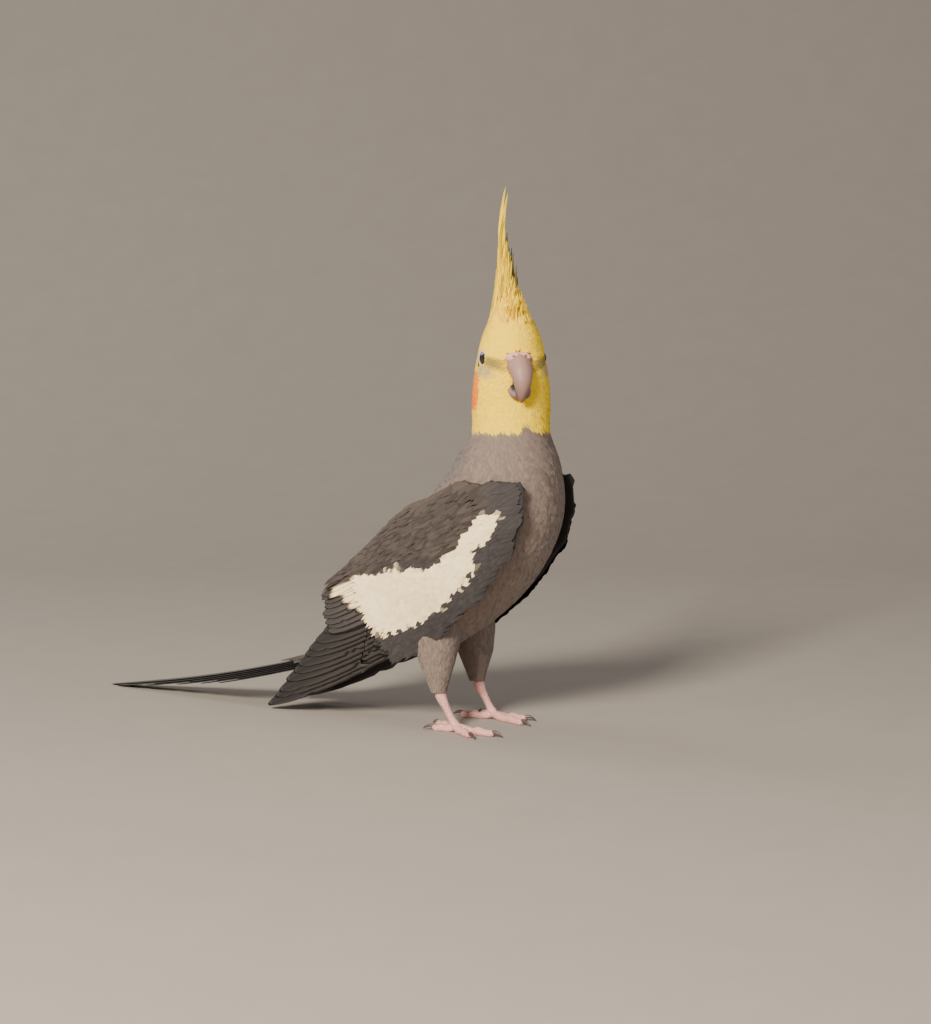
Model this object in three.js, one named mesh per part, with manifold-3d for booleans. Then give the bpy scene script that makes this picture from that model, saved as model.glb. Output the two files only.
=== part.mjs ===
// A life-size cockatiel that stands and looks round to its right, with its crest raised.
// Millimetres, +Z up. The bird faces -Y, its right side is -X and its feet stand on z = 0.
import * as THREE from 'three';
import { mergeVertices } from 'three/addons/utils/BufferGeometryUtils.js';
import Module from 'manifold-3d';

const wasm = await Module();
wasm.setup();

// Driving sizes
const GAP = 0.3; // the room between neighbouring pieces
const VANE = 0.5; // thickness of a feather vane
const HEAD_TURN = 48; // degrees that the head looks round to the bird's right
const NECK_F = 18; // how far forward the axis of that turn stands
const TURN = { from: 112, to: 146 }; // heights between which the neck takes the turn up
const CERE = { side: 2.9, f: 14.4, h: 164.9 };
const FLOOR_ROOM = 0.8; // the wing stays this far above the floor
const WING_SLOPE = 37; // degrees that the closed wing points down
const BEND = { f: 31, h: 112 }; // bend of the wing
const WING_LENGTH = 172;
const TAIL_SLOPE = 12; // degrees
const TAIL_LENGTH = 148; // middle pair of tail feathers
const EYE = { angle: 76.5, f: 0.9, out: 11.6, h: 164, radius: 3.6 }; // angle round the head from straight ahead
const FOOT_SPREAD = 17; // each foot from the middle
const TARSUS = 3.3; // shank's thickness

// The trunk from rump to crown: middle (f, h), half width, depth to the front and to the back
const TRUNK = [
  { f: -60, h: 31, w: 9, front: 6.5, back: 7.5 },
  { f: -49, h: 38, w: 14.5, front: 11, back: 13 },
  { f: -36, h: 48, w: 20, front: 23, back: 19 },
  { f: -22, h: 61, w: 25, front: 28.5, back: 24.5 },
  { f: -8, h: 75, w: 27.5, front: 31.5, back: 27 },
  { f: 4, h: 88, w: 28.3, front: 31.5, back: 27 },
  { f: 13, h: 103, w: 26.5, front: 29.5, back: 25.5 },
  { f: 17.2, h: 118, w: 22.5, front: 23.5, back: 22.5 },
  { f: 18.3, h: 131, w: 17.2, front: 17, back: 18 },
  { f: 18.5, h: 143, w: 17.0, front: 15.8, back: 17 },
  { f: 18.7, h: 154, w: 16.3, front: 15.8, back: 17.2 },
  { f: 18.9, h: 164, w: 14.7, front: 14.8, back: 17 },
  { f: 18.4, h: 172, w: 12.9, front: 12.6, back: 15.4 },
  { f: 17.6, h: 179, w: 10.2, front: 8.8, back: 12.2 },
  { f: 16.8, h: 185, w: 6.4, front: 4.6, back: 8.2 },
];
const CUTS = { rump: 0, neck: 7.0, head: 8.2, crown: 12.6, top: 14 };

const rad = THREE.MathUtils.degToRad;
const lerp = THREE.MathUtils.lerp;
const clamp = THREE.MathUtils.clamp;
const smooth = (x, a, b) => THREE.MathUtils.smoothstep(x, a, b);
const at = (x, f, h) => new THREE.Vector3(x, -f, h);

// A seeded draw between -1 and 1, so that like feathers differ a little.
let seed = 7;
function vary() {
  seed = (seed * 16807) % 2147483647;
  return (seed / 2147483647) * 2 - 1;
}

// Closed surfaces from points and triangles, and joins and cuts of them
function solid(points, triangles) {
  let volume = 0;
  for (const [a, b, c] of triangles)
    volume += points[a].dot(new THREE.Vector3().crossVectors(points[b], points[c]));
  const faces = volume < 0 ? triangles.map(([a, b, c]) => [a, c, b]) : triangles;
  const mesh = new wasm.Mesh({
    numProp: 3,
    vertProperties: new Float32Array(points.flatMap((p) => [p.x, p.y, p.z])),
    triVerts: new Uint32Array(faces.flat()),
  });
  return new wasm.Manifold(mesh);
}

function fromGeometry(geometry) {
  geometry.deleteAttribute('normal');
  geometry.deleteAttribute('uv');
  const merged = mergeVertices(geometry, 1e-4);
  const mesh = new wasm.Mesh({
    numProp: 3,
    vertProperties: merged.attributes.position.array,
    triVerts: new Uint32Array(merged.index.array),
  });
  return new wasm.Manifold(mesh);
}

const joined = (parts) => parts.reduce((whole, part) => whole.add(part));

// Rings of equal length make a skin, closed at each end by a fan on the ring's middle.
function skin(rings) {
  const n = rings[0].length;
  const points = rings.flat();
  const triangles = [];
  for (let r = 0; r < rings.length - 1; r++)
    for (let i = 0; i < n; i++) {
      const a = r * n + i;
      const b = r * n + ((i + 1) % n);
      triangles.push([a, b, b + n], [a, b + n, a + n]);
    }
  for (const [ring, start, flip] of [[rings[0], 0, true], [rings.at(-1), (rings.length - 1) * n, false]]) {
    const middle = ring.reduce((sum, p) => sum.add(p), new THREE.Vector3()).divideScalar(n);
    const m = points.push(middle) - 1;
    for (let i = 0; i < n; i++) {
      const a = start + i;
      const b = start + ((i + 1) % n);
      triangles.push(flip ? [m, b, a] : [m, a, b]);
    }
  }
  return solid(points, triangles);
}

function ball(centre, radii, detail = 12) {
  const g = new THREE.SphereGeometry(1, detail, Math.round(detail * 0.6));
  g.scale(radii.x, radii.y, radii.z);
  g.translate(centre.x, centre.y, centre.z);
  return fromGeometry(g);
}

// A round limb along points [x, f, h, radius]; its rings are flattened where they meet the floor.
function limb(route, sides = 8) {
  const rings = route.map(([x, f, h, r], i) => {
    const p = at(x, f, h);
    const before = at(...route[Math.max(0, i - 1)].slice(0, 3));
    const after = at(...route[Math.min(route.length - 1, i + 1)].slice(0, 3));
    const along = after.sub(before).normalize();
    const guide = Math.abs(along.z) > 0.9 ? new THREE.Vector3(0, -1, 0) : new THREE.Vector3(0, 0, 1);
    const side = new THREE.Vector3().crossVectors(along, guide).normalize();
    const up = new THREE.Vector3().crossVectors(side, along);
    return Array.from({ length: sides }, (_, k) => {
      const a = ((k + 0.5) / sides) * 2 * Math.PI;
      const q = p.clone().addScaledVector(side, Math.cos(a) * r).addScaledVector(up, Math.sin(a) * r);
      q.z = Math.max(q.z, 0);
      return q;
    });
  });
  return skin(rings);
}

// The trunk at place s on its list of rings, smooth between them
function station(s) {
  const i = clamp(Math.floor(s), 0, TRUNK.length - 2);
  const t = s - i;
  const p = (k) => TRUNK[clamp(i + k, 0, TRUNK.length - 1)];
  const value = (key) => {
    const [a, b, c, d] = [p(-1)[key], p(0)[key], p(1)[key], p(2)[key]];
    return 0.5 * (2 * b + (c - a) * t + (2 * a - 5 * b + 4 * c - d) * t * t + (3 * b - a - 3 * c + d) * t ** 3);
  };
  return { f: value('f'), h: value('h'), w: value('w'), front: value('front'), back: value('back') };
}

// The head turns about an upright axis, and the neck takes the turn up bit by bit.
function turned(x, f, h, share = smooth(h, TURN.from, TURN.to)) {
  const a = rad(HEAD_TURN) * share;
  const df = f - NECK_F;
  return at(x * Math.cos(a) - df * Math.sin(a), NECK_F + x * Math.sin(a) + df * Math.cos(a), h);
}

function trunkRing(s, grow, sides) {
  const c = station(s);
  const before = station(Math.max(0, s - 0.2));
  const after = station(Math.min(TRUNK.length - 1, s + 0.2));
  const length = Math.hypot(after.f - before.f, after.h - before.h);
  const tf = (after.f - before.f) / length;
  const th = (after.h - before.h) / length;
  const share = smooth(c.h, TURN.from, TURN.to);
  return Array.from({ length: sides }, (_, k) => {
    const a = (k / sides) * 2 * Math.PI;
    const depth = (Math.cos(a) > 0 ? c.front : c.back) + grow;
    const out = Math.cos(a) * depth;
    return turned(Math.sin(a) * (c.w + grow), c.f + th * out, c.h - tf * out, share);
  });
}

function trunk(from, to, grow = 0, sides = 24, step = 0.5) {
  const count = Math.max(2, Math.round((to - from) / step));
  const rings = [];
  for (let i = 0; i <= count; i++) rings.push(trunkRing(lerp(from, to, i / count), grow, sides));
  return skin(rings);
}

// Half of the cut between two neighbours, as a length along the list of rings
const half = (s) => {
  const a = station(s);
  const b = station(s + 0.1);
  return (0.1 * GAP * 0.8) / Math.hypot(b.f - a.f, b.h - a.h);
};

// A feather vane: rows from root to tip, each laid by place(t, side, lift), with like triangles on both faces
function vane(place, width, rows, columns = 2, thickness = VANE) {
  const points = [];
  const triangles = [];
  for (let r = 0; r <= rows; r++) {
    const t = r / rows;
    const w = width(t);
    const thick = t > 0.97 ? thickness * 0.5 : thickness;
    for (const lift of [0, thick])
      for (let c = 0; c < columns; c++) points.push(place(t, (c / (columns - 1) - 0.5) * w, lift));
  }
  const n = 2 * columns;
  const id = (r, face, c) => r * n + face * columns + c;
  for (let r = 0; r < rows; r++) {
    for (let c = 0; c < columns - 1; c++) {
      const [a, b, d, e] = [id(r, 1, c), id(r, 1, c + 1), id(r + 1, 1, c), id(r + 1, 1, c + 1)];
      triangles.push([a, b, e], [a, e, d]);
      const [f, g, i, j] = [id(r, 0, c), id(r, 0, c + 1), id(r + 1, 0, c), id(r + 1, 0, c + 1)];
      triangles.push([f, j, g], [f, i, j]);
    }
    for (const [c, flip] of [[0, false], [columns - 1, true]]) {
      const [a, b, d, e] = [id(r, 0, c), id(r, 1, c), id(r + 1, 0, c), id(r + 1, 1, c)];
      const pair = [[a, b, e], [a, e, d]];
      triangles.push(...(flip ? pair.map(([p, q, s]) => [p, s, q]) : pair));
    }
  }
  for (const [r, flip] of [[0, true], [rows, false]])
    for (let c = 0; c < columns - 1; c++) {
      const [a, b, d, e] = [id(r, 0, c), id(r, 0, c + 1), id(r, 1, c), id(r, 1, c + 1)];
      const pair = [[a, d, e], [a, e, b]];
      triangles.push(...(flip ? pair.map(([p, q, s]) => [p, s, q]) : pair));
    }
  return solid(points, triangles);
}

// Outline of a vane: full width over most of its length, then drawn to a blunt tip
const leaf = (wide, blunt = 0.18) => (t) =>
  wide * clamp(0.55 + 2.2 * t, 0, 1) * Math.sqrt(clamp(1 - ((t - 0.55) / 0.46) ** 2 * (t > 0.55 ? 1 : 0), blunt ** 2, 1));

// Head, neck and trunk
const inHead = (x, f, h) => turned(x, NECK_F + f, h, 1);
const eyeAt = (side, out = EYE.out) =>
  inHead(side * Math.sin(rad(EYE.angle)) * out, EYE.f + Math.cos(rad(EYE.angle)) * out, EYE.h);

function lid(side) {
  const ring = new THREE.TorusGeometry(3.4, 0.7, 6, 14);
  const outward = eyeAt(side, EYE.out + 1).sub(eyeAt(side)).normalize();
  ring.applyQuaternion(new THREE.Quaternion().setFromUnitVectors(new THREE.Vector3(0, 0, 1), outward));
  const centre = eyeAt(side, EYE.out + 2.4);
  ring.translate(centre.x, centre.y, centre.z);
  return fromGeometry(ring);
}

const eyeball = (side, grow = 0) => {
  const r = EYE.radius + grow;
  return ball(eyeAt(side), new THREE.Vector3(r, r, r), 12);
};

// The bill: centre line points (forward, height), half width and half height
const UPPER_BILL = [
  [12, 160.5, 5.4, 4.6], [16.6, 160.8, 5.4, 4.4], [19.6, 158.6, 5.0, 3.7],
  [21.4, 155, 4.2, 2.9], [21.8, 151.4, 3.1, 2.1], [21, 148, 1.8, 1.3], [19.8, 145.8, 0.5, 0.45],
];
const LOWER_BILL = [
  [11.5, 152.2, 5.2, 3.4], [15.4, 150.8, 5.2, 3.2], [17.9, 149.0, 4.6, 2.6], [19.5, 148.2, 3.2, 1.4],
];

function billHalf(line, grow, sides = 12) {
  const rings = line.map(([f, h, w, d], i) => {
    const [f0, h0] = line[Math.max(0, i - 1)];
    const [f1, h1] = line[Math.min(line.length - 1, i + 1)];
    const length = Math.hypot(f1 - f0, h1 - h0);
    return Array.from({ length: sides }, (_, k) => {
      const a = (k / sides) * 2 * Math.PI;
      const out = Math.cos(a) * (d + grow);
      return inHead(Math.sin(a) * (w + grow), f - ((h1 - h0) / length) * out, h + ((f1 - f0) / length) * out);
    });
  });
  return skin(rings);
}

function cereShape(grow) {
  const parts = [-1, 0, 1].map((side) => {
    const g = new THREE.SphereGeometry(1, 10, 6);
    g.scale((side ? 3.1 : 3.4) + grow, 3.4 + grow, (side ? 2.5 : 2.1) + grow);
    g.translate(side * CERE.side, -(CERE.f - Math.abs(side) * 0.5), CERE.h);
    g.rotateZ(-rad(HEAD_TURN));
    g.translate(0, -NECK_F, 0);
    return fromGeometry(g);
  });
  return joined(parts);
}

// Crest feathers: [side row, how many, least length, greatest length]; each row runs from the forehead back
const CREST_ROWS = [
  [0, 6, 20, 55],
  [-2.5, 4, 20, 38],
  [2.5, 4, 20, 38],
  [-6.2, 3, 18, 28],
  [6.2, 3, 18, 28],
];

function crestFeather(x0, back, length) {
  const f0 = lerp(7.2, -4.6, back) - Math.abs(x0) * 0.25;
  const h0 = lerp(173.5, 181, Math.min(1, back * 1.6)) - Math.abs(x0) * 0.55;
  const lean = rad(lerp(2, 30, back) + vary() * 2);
  const bend = rad(34 + vary() * 5);
  const inward = -x0 * (Math.abs(x0) > 4 ? 0.6 : 0.8) + vary() * 0.5;
  const place = (t, side, lift) => {
    const angle = lean - bend * t * 0.5;
    const run = length * t;
    const x = x0 + inward * smooth(t, 0, 0.8) + Math.cos(twist) * side - Math.sin(twist) * lift;
    const f = f0 - Math.sin(angle) * run + Math.sin(twist) * side + Math.cos(twist) * lift;
    return inHead(x, f, h0 + Math.cos(angle) * run);
  };
  const wide = Math.min(5.6, 3.6 + length * 0.045);
  const twist = x0 ? Math.sign(x0) * rad(30) : rad(50) * (Math.round(back * 12) % 2 ? 1 : -1);
  return vane(place, (t) => wide * (t < 0.25 ? 0.7 + 1.2 * t : Math.max(0.16, 1 - ((t - 0.25) / 0.8) ** 1.25)), 4);
}

function crest() {
  const parts = [trunk(CUTS.crown + half(CUTS.crown), CUTS.top, 0, 20)];
  for (const [x, count, least, most] of CREST_ROWS)
    for (let i = 0; i < count; i++) {
      const back = (i + 0.2) / count;
      const length = lerp(least, most, Math.min(1, back * 1.2) ** 1.5) * (1 + 0.05 * vary());
      parts.push(crestFeather(x + 0.3 * vary(), back, length));
    }
  return joined(parts);
}

// The closed wing's outer surface: u runs from the bend to the tip, v across it towards the back
const along = (table, u) => {
  for (let i = 1; i < table.length; i++)
    if (u <= table[i][0]) return lerp(table[i - 1][1], table[i][1], smooth(u, table[i - 1][0], table[i][0]));
  return table.at(-1)[1];
};
const WING_OUT = [[-6, 24], [20, 31], [50, 31.5], [90, 26], [130, 20], [WING_LENGTH, 17.5]];
const WING_AXIS = [[0, -4], [50, -11], [100, -16], [WING_LENGTH, -9]];
const WING_ROUND = [[0, 34], [60, 39], [WING_LENGTH, 44]];
const WING_FRONT = [[-4, -6], [6, -18], [18, -26], [40, -31], [66, -32], [90, -28]];
const WING_BACK = [[-4, -2], [6, 5], [20, 14], [50, 20], [90, 19]];

function onWing(side, u, v, lift) {
  const flat = (a, b) => {
    const q = (b - along(WING_AXIS, a)) / along(WING_ROUND, a);
    return along(WING_OUT, a) * Math.sqrt(Math.max(0.12, 1 - q * q));
  };
  const x = flat(u, v);
  const du = flat(u + 1, v) - x;
  const dv = flat(u, v + 1) - x;
  const n = new THREE.Vector3(1, -du, -dv).normalize().multiplyScalar(lift);
  const a = rad(WING_SLOPE);
  const [uu, vv] = [u + n.y, v + n.z];
  return at(
    side * (x + n.x),
    BEND.f - Math.cos(a) * uu - Math.sin(a) * vv,
    Math.max(FLOOR_ROOM, BEND.h - Math.sin(a) * uu + Math.cos(a) * vv),
  );
}

// The wing's flesh and its small feathers, as one pad that thins towards its edges
function wingPad(side) {
  const rows = 8;
  const columns = 6;
  const end = 88;
  const face = (inner) => {
    const grid = [];
    for (let r = 0; r <= rows; r++) {
      const u = lerp(-4, end, r / rows);
      for (let c = 0; c <= columns; c++) {
        const k = c / columns;
        const v = lerp(along(WING_FRONT, u), along(WING_BACK, u), k);
        const full = Math.sin(Math.PI * clamp(k, 0.02, 0.98)) ** 0.5 * Math.sin(Math.PI * clamp((r + 0.6) / (rows + 1.2), 0, 1)) ** 0.5;
        grid.push(onWing(side, u, v, inner ? -1.2 - 9 * full : -1.1 + 1.1 * full));
      }
    }
    return grid;
  };
  const points = [...face(false), ...face(true)];
  const n = (rows + 1) * (columns + 1);
  const id = (r, c) => r * (columns + 1) + c;
  const triangles = [];
  const quad = (a, b, c, d) => triangles.push([a, b, c], [a, c, d]);
  for (let r = 0; r < rows; r++)
    for (let c = 0; c < columns; c++) {
      quad(id(r, c), id(r, c + 1), id(r + 1, c + 1), id(r + 1, c));
      quad(n + id(r, c), n + id(r + 1, c), n + id(r + 1, c + 1), n + id(r, c + 1));
    }
  for (let r = 0; r < rows; r++) {
    quad(id(r, 0), id(r + 1, 0), n + id(r + 1, 0), n + id(r, 0));
    quad(id(r + 1, columns), id(r, columns), n + id(r, columns), n + id(r + 1, columns));
  }
  for (let c = 0; c < columns; c++) {
    quad(id(0, c + 1), id(0, c), n + id(0, c), n + id(0, c + 1));
    quad(id(rows, c), id(rows, c + 1), n + id(rows, c + 1), n + id(rows, c));
  }
  return solid(points, triangles);
}

// Tiers of wing feathers: first and last root, first and last tip, all (u, v) from the front edge to the back
const TIERS = {
  primaries: { n: 7, root: [[64, -27], [66, -10]], tip: [[WING_LENGTH, -8], [124, 3]], wide: 15, from: -3.4, to: -2.6, rows: 5, columns: 3, order: 1.1 },
  secondaries: { n: 5, root: [[62, -8], [58, 14]], tip: [[120, 2], [117, 17]], wide: 14, from: -2.6, to: -1.2, rows: 4, columns: 2, order: 1 },
  greater: { n: 7, root: [[44, -24], [50, 12]], tip: [[84, -18], [112, 16]], wide: 12, from: -2, to: 0.9, rows: 3, columns: 2, order: 1 },
  primaryCoverts: { n: 4, root: [[58, -29], [60, -20]], tip: [[100, -24], [96, -15]], wide: 8, from: -2, to: 0.7, rows: 4, columns: 2, order: 1 },
  median: { n: 5, root: [[22, -23], [28, 12]], tip: [[50, -26], [64, 10]], wide: 10, from: -1.6, to: 1.7, rows: 3, columns: 2, order: 1 },
  lesser: { n: 5, root: [[6, -14], [11, 6]], tip: [[30, -27], [38, 10]], wide: 9, from: -1.6, to: 1.6, rows: 3, columns: 2, order: 1 },
  scapulars: { n: 4, root: [[18, 8], [46, 18]], tip: [[58, 8], [98, 18]], wide: 11, from: -1.6, to: 2.6, rows: 4, columns: 2, order: 1 },
};

function wingFeathers(side, tier) {
  const { n, root, tip, wide, from, to, rows, columns, order } = tier;
  const parts = [];
  const spread = (ends, k) => [lerp(ends[0][0], ends[1][0], k), lerp(ends[0][1], ends[1][1], k)];
  for (let i = 0; i < n; i++) {
    const k = i / (n - 1);
    const [u0, v0] = spread(root, k);
    const [u1, v1] = spread(tip, k ** order);
    const length = Math.hypot(u1 - u0, v1 - v0) * (1 + 0.015 * vary());
    const dir = [(u1 - u0) / length, (v1 - v0) / length];
    const rootPitch = Math.hypot(root[1][0] - root[0][0], root[1][1] - root[0][1]) / (n - 1);
    const tipPitch = Math.abs(tip[1][1] - tip[0][1]) / (n - 1);
    const shape = leaf(wide);
    const place = (t, s, lift) => {
      const pitch = Math.max(1.6, lerp(rootPitch, tipPitch, t));
      const tilt = clamp(0.9 / pitch, 0.12, 0.42);
      const u = u0 + dir[0] * length * t - dir[1] * s;
      const v = v0 + dir[1] * length * t + dir[0] * s;
      const rise = lerp(from, to, smooth(t, 0, 0.45));
      return onWing(side, u, v, rise - tilt * s * smooth(t, 0, 0.3) + lift);
    };
    parts.push(vane(place, shape, rows, columns));
  }
  return parts;
}

function wing(side) {
  const parts = [wingPad(side)];
  for (const tier of Object.values(TIERS)) parts.push(...wingFeathers(side, tier));
  return joined(parts);
}

// The tail: a rump stub, six pairs of graduated feathers under the middle pair, and coverts above and below
const TAIL_ROOT = { f: -60, h: 31 };
const TAIL_STEPS = [0, 5, 24, 44, 60, 72]; // how much shorter each pair is than the middle one

function onTail(x, run, lift) {
  const a = rad(TAIL_SLOPE);
  const sag = 3.0 * Math.sin((Math.PI * clamp(run, 0, TAIL_LENGTH)) / TAIL_LENGTH);
  const f = TAIL_ROOT.f - Math.cos(a) * run + Math.sin(a) * lift;
  return at(x, f, Math.max(0, TAIL_ROOT.h - 0.2 - Math.sin(a) * run - sag + Math.cos(a) * lift));
}

function tail() {
  const stub = [];
  for (const [run, w, d] of [[0.5, 8.6, 6.4], [10, 8.4, 5], [22, 7.6, 3.6], [34, 6.4, 2]])
    stub.push(Array.from({ length: 16 }, (_, k) => {
      const a = (k / 16) * 2 * Math.PI;
      return onTail(Math.sin(a) * w, run, Math.cos(a) * d);
    }));
  const parts = [skin(stub)];
  TAIL_STEPS.forEach((short, i) => {
    for (const side of [-1, 1]) {
      const length = TAIL_LENGTH - short - 14;
      const spread = 0.9 + i * 1.35;
      const level = 0.5 - i * 0.85 - (side > 0 ? 0.42 : 0);
      const place = (t, s, lift) =>
        onTail(side * lerp(0.8 + i * 0.5, spread, t) + s, 14 + length * t, level * smooth(t, 0, 0.25) + lift);
      parts.push(vane(place, leaf(i ? 10 : 9.5, 0.12), 5, 2));
    }
  });
  for (const [count, length, level, wide] of [[5, 44, 3.4, 9], [4, 40, -4.6, 8]])
    for (let i = 0; i < count; i++) {
      const k = i / (count - 1) - 0.5;
      const place = (t, s, lift) =>
        onTail(k * lerp(8, 10, t) + s, 4 + (length - Math.abs(k) * 12) * t, lerp(level, level * 0.55, t) + lift - Math.abs(k) * 2);
      parts.push(vane(place, leaf(wide), 3, 2));
    }
  return joined(parts);
}

// Legs: a feathered thigh, then shank and toes in one piece, with a claw on each toe
const TOES = [
  // [heading from straight ahead, length, thickness] of the two front and two back toes
  [-8, 19, 2.0], [24, 14.5, 1.9], [158, 10, 1.8], [198, 15, 1.9],
];
const ANKLE = { f: -7.6, h: 15.5 };
const toeTurn = 12; // the feet point a little to the bird's left

function thigh(side, grow = 0) {
  const x = side * FOOT_SPREAD;
  const route = [[x * 0.74, -13, 52 + grow, 13], [x * 0.88, -11, 42, 11.2], [x, -9.5, 31, 8], [x, -8.8, 18.6, 4.6]];
  return limb(route.map(([a, f, h, r]) => [a, f, h, r + grow]), 12);
}

function toe(side, [heading, length, r]) {
  const a = rad(side * heading - toeTurn);
  const route = [];
  for (const [t, lift, scale] of [[-0.05, 1.6, 0.8], [0.25, 0.2, 1], [0.5, 0, 0.86], [0.62, 0.1, 1.02], [0.82, 0, 0.85], [1, 0.1, 0.8]]) {
    const radius = r * scale;
    route.push([side * FOOT_SPREAD + Math.sin(a) * length * t, Math.cos(a) * length * t, radius * 0.72 + lift, radius]);
  }
  return limb(route, 8);
}

function foot(side) {
  const x = side * FOOT_SPREAD;
  const shank = limb([[x, -8.5, 17.7, 2.0], [x, ANKLE.f, ANKLE.h, 2.4], [x, -4.6, 10, TARSUS / 2], [x, -2, 5.5, TARSUS / 2], [x, 0, 2.6, 2.3]], 8);
  return joined([shank, ...TOES.map((t) => toe(side, t))]);
}

function claw(side, [heading, length, r]) {
  const a = rad(side * heading - toeTurn);
  const route = [];
  for (const [run, h, radius] of [[0.5, 1.7, 0.95], [2, 2.1, 0.8], [4, 1.6, 0.5], [5.4, 0.6, 0.2]])
    route.push([side * FOOT_SPREAD + Math.sin(a) * (length + run), Math.cos(a) * (length + run), h, radius * (r / 2)]);
  return limb(route, 6);
}

// Colours
const paint = (color, roughness) => new THREE.MeshStandardMaterial({ color, roughness, metalness: 0 });
const PAINT = {
  grey: paint(0x7a6a60, 0.85), yellow: paint(0xe8cf7c, 0.85), wing: paint(0x55504e, 0.8), tail: paint(0x2a2829, 0.75),
  bill: paint(0xb08a82, 0.45), cere: paint(0xd79a94, 0.6), eye: paint(0x120c0a, 0.1), foot: paint(0xd99a90, 0.6), claw: paint(0x4a403c, 0.45),
};

// Puts one node in the bird: only the largest closed surface of it is kept.
const bird = new THREE.Group();
function add(name, shape, material) {
  const whole = shape.decompose().sort((a, b) => Math.abs(b.volume()) - Math.abs(a.volume()))[0];
  const mesh = whole.getMesh();
  const geometry = new THREE.BufferGeometry();
  geometry.setAttribute('position', new THREE.BufferAttribute(Float32Array.from(mesh.vertProperties), 3));
  geometry.setIndex(new THREE.BufferAttribute(Uint32Array.from(mesh.triVerts), 1));
  const body = new THREE.Mesh(geometry, material);
  body.name = name;
  bird.add(body);
}

const flesh = trunk(CUTS.rump - 0.04, CUTS.head, 1.2, 16); // room for the pieces that lie on the trunk
const thighs = { left: thigh(1).subtract(flesh), right: thigh(-1).subtract(flesh) };

add('torso', trunk(CUTS.rump, CUTS.neck - half(CUTS.neck)), PAINT.grey);
add('neck', trunk(CUTS.neck + half(CUTS.neck), CUTS.head - half(CUTS.head)), PAINT.grey);

let head = trunk(CUTS.head + half(CUTS.head), CUTS.crown - half(CUTS.crown));
for (const side of [-1, 1]) head = head.add(lid(side)).subtract(eyeball(side, GAP));
add('head', head, PAINT.yellow);
add('crest', crest().subtract(trunk(CUTS.head, CUTS.crown + 0.9 * half(CUTS.crown), GAP)), PAINT.yellow);
for (const [name, side] of [['left', 1], ['right', -1]]) add(`eye_${name}`, eyeball(side), PAINT.eye);

const face = trunk(CUTS.head, CUTS.crown, GAP, 24);
let cere = cereShape(0).subtract(face);
for (const side of [-1, 1]) cere = cere.subtract(ball(inHead(side * CERE.side, 17.1, CERE.h + 0.8), new THREE.Vector3(1, 1, 0.8), 8));
add('cere', cere, PAINT.cere);
const upper = billHalf(UPPER_BILL, 0).subtract(face).subtract(cereShape(GAP));
add('bill_upper', upper, PAINT.bill);
add('bill_lower', billHalf(LOWER_BILL, 0).subtract(face).subtract(billHalf(UPPER_BILL, GAP)), PAINT.bill);

for (const [name, side] of [['left', 1], ['right', -1]]) {
  add(`wing_${name}`, wing(side).subtract(flesh).subtract(thigh(side, 2 * GAP)), PAINT.wing);
  add(`thigh_${name}`, thighs[name], PAINT.grey);
  add(`foot_${name}`, foot(side), PAINT.foot);
  TOES.forEach((t, i) => add(`claw_${name}_${i + 1}`, claw(side, t), PAINT.claw));
}
add('tail', tail().subtract(flesh), PAINT.tail);

// The origin lies under the middle of the bird's box, on the floor.
const box = new THREE.Box3().setFromObject(bird);
const middle = box.getCenter(new THREE.Vector3());
bird.position.set(-middle.x, -middle.y, -box.min.z);
export default bird;
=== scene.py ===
# A life-size cockatiel with raised crest: skin, plumage, bill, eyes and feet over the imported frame.
from functools import partial
from math import ceil, copysign, cos, dist, hypot, pi, radians, sin, sqrt

import bpy
import numpy as np
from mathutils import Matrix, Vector
from numpy.linalg import norm


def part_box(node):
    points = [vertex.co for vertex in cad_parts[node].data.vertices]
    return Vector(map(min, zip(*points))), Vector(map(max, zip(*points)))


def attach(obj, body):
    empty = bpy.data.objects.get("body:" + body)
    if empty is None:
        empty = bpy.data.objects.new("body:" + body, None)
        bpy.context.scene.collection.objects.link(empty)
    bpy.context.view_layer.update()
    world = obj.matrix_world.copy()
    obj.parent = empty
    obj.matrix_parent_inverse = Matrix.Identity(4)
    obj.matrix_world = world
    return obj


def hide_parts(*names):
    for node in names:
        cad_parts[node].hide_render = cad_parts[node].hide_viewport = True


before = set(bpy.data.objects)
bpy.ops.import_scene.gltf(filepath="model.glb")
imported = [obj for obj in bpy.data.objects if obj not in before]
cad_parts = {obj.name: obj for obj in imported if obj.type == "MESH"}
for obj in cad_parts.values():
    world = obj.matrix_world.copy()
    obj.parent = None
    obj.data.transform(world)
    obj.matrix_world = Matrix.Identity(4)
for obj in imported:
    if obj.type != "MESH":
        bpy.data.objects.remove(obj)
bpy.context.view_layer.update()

MM = 0.001
SIDES = (("left", 1), ("right", -1))

# Driving sizes in millimetres, as the solids have them
HEAD_TURN = radians(48)
NECK_F = 18
TURN_FROM, TURN_TO = 112, 146
WING_SLOPE = radians(37)
BEND_F, BEND_H = 31, 112
WING_LENGTH = 172
TAIL_SLOPE = radians(12)
TAIL_LENGTH = 148
TAIL_F, TAIL_H = -60, 31
TAIL_SAG = 3.0
EYE_ANGLE = radians(76.5)
EYE_F, EYE_OUT, EYE_H, EYE_RADIUS = 0.9, 11.6, 164, 3.6
FOOT_SPREAD = 17
TOE_TURN = 12
SKIN_DEPTH = 1.0

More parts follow.
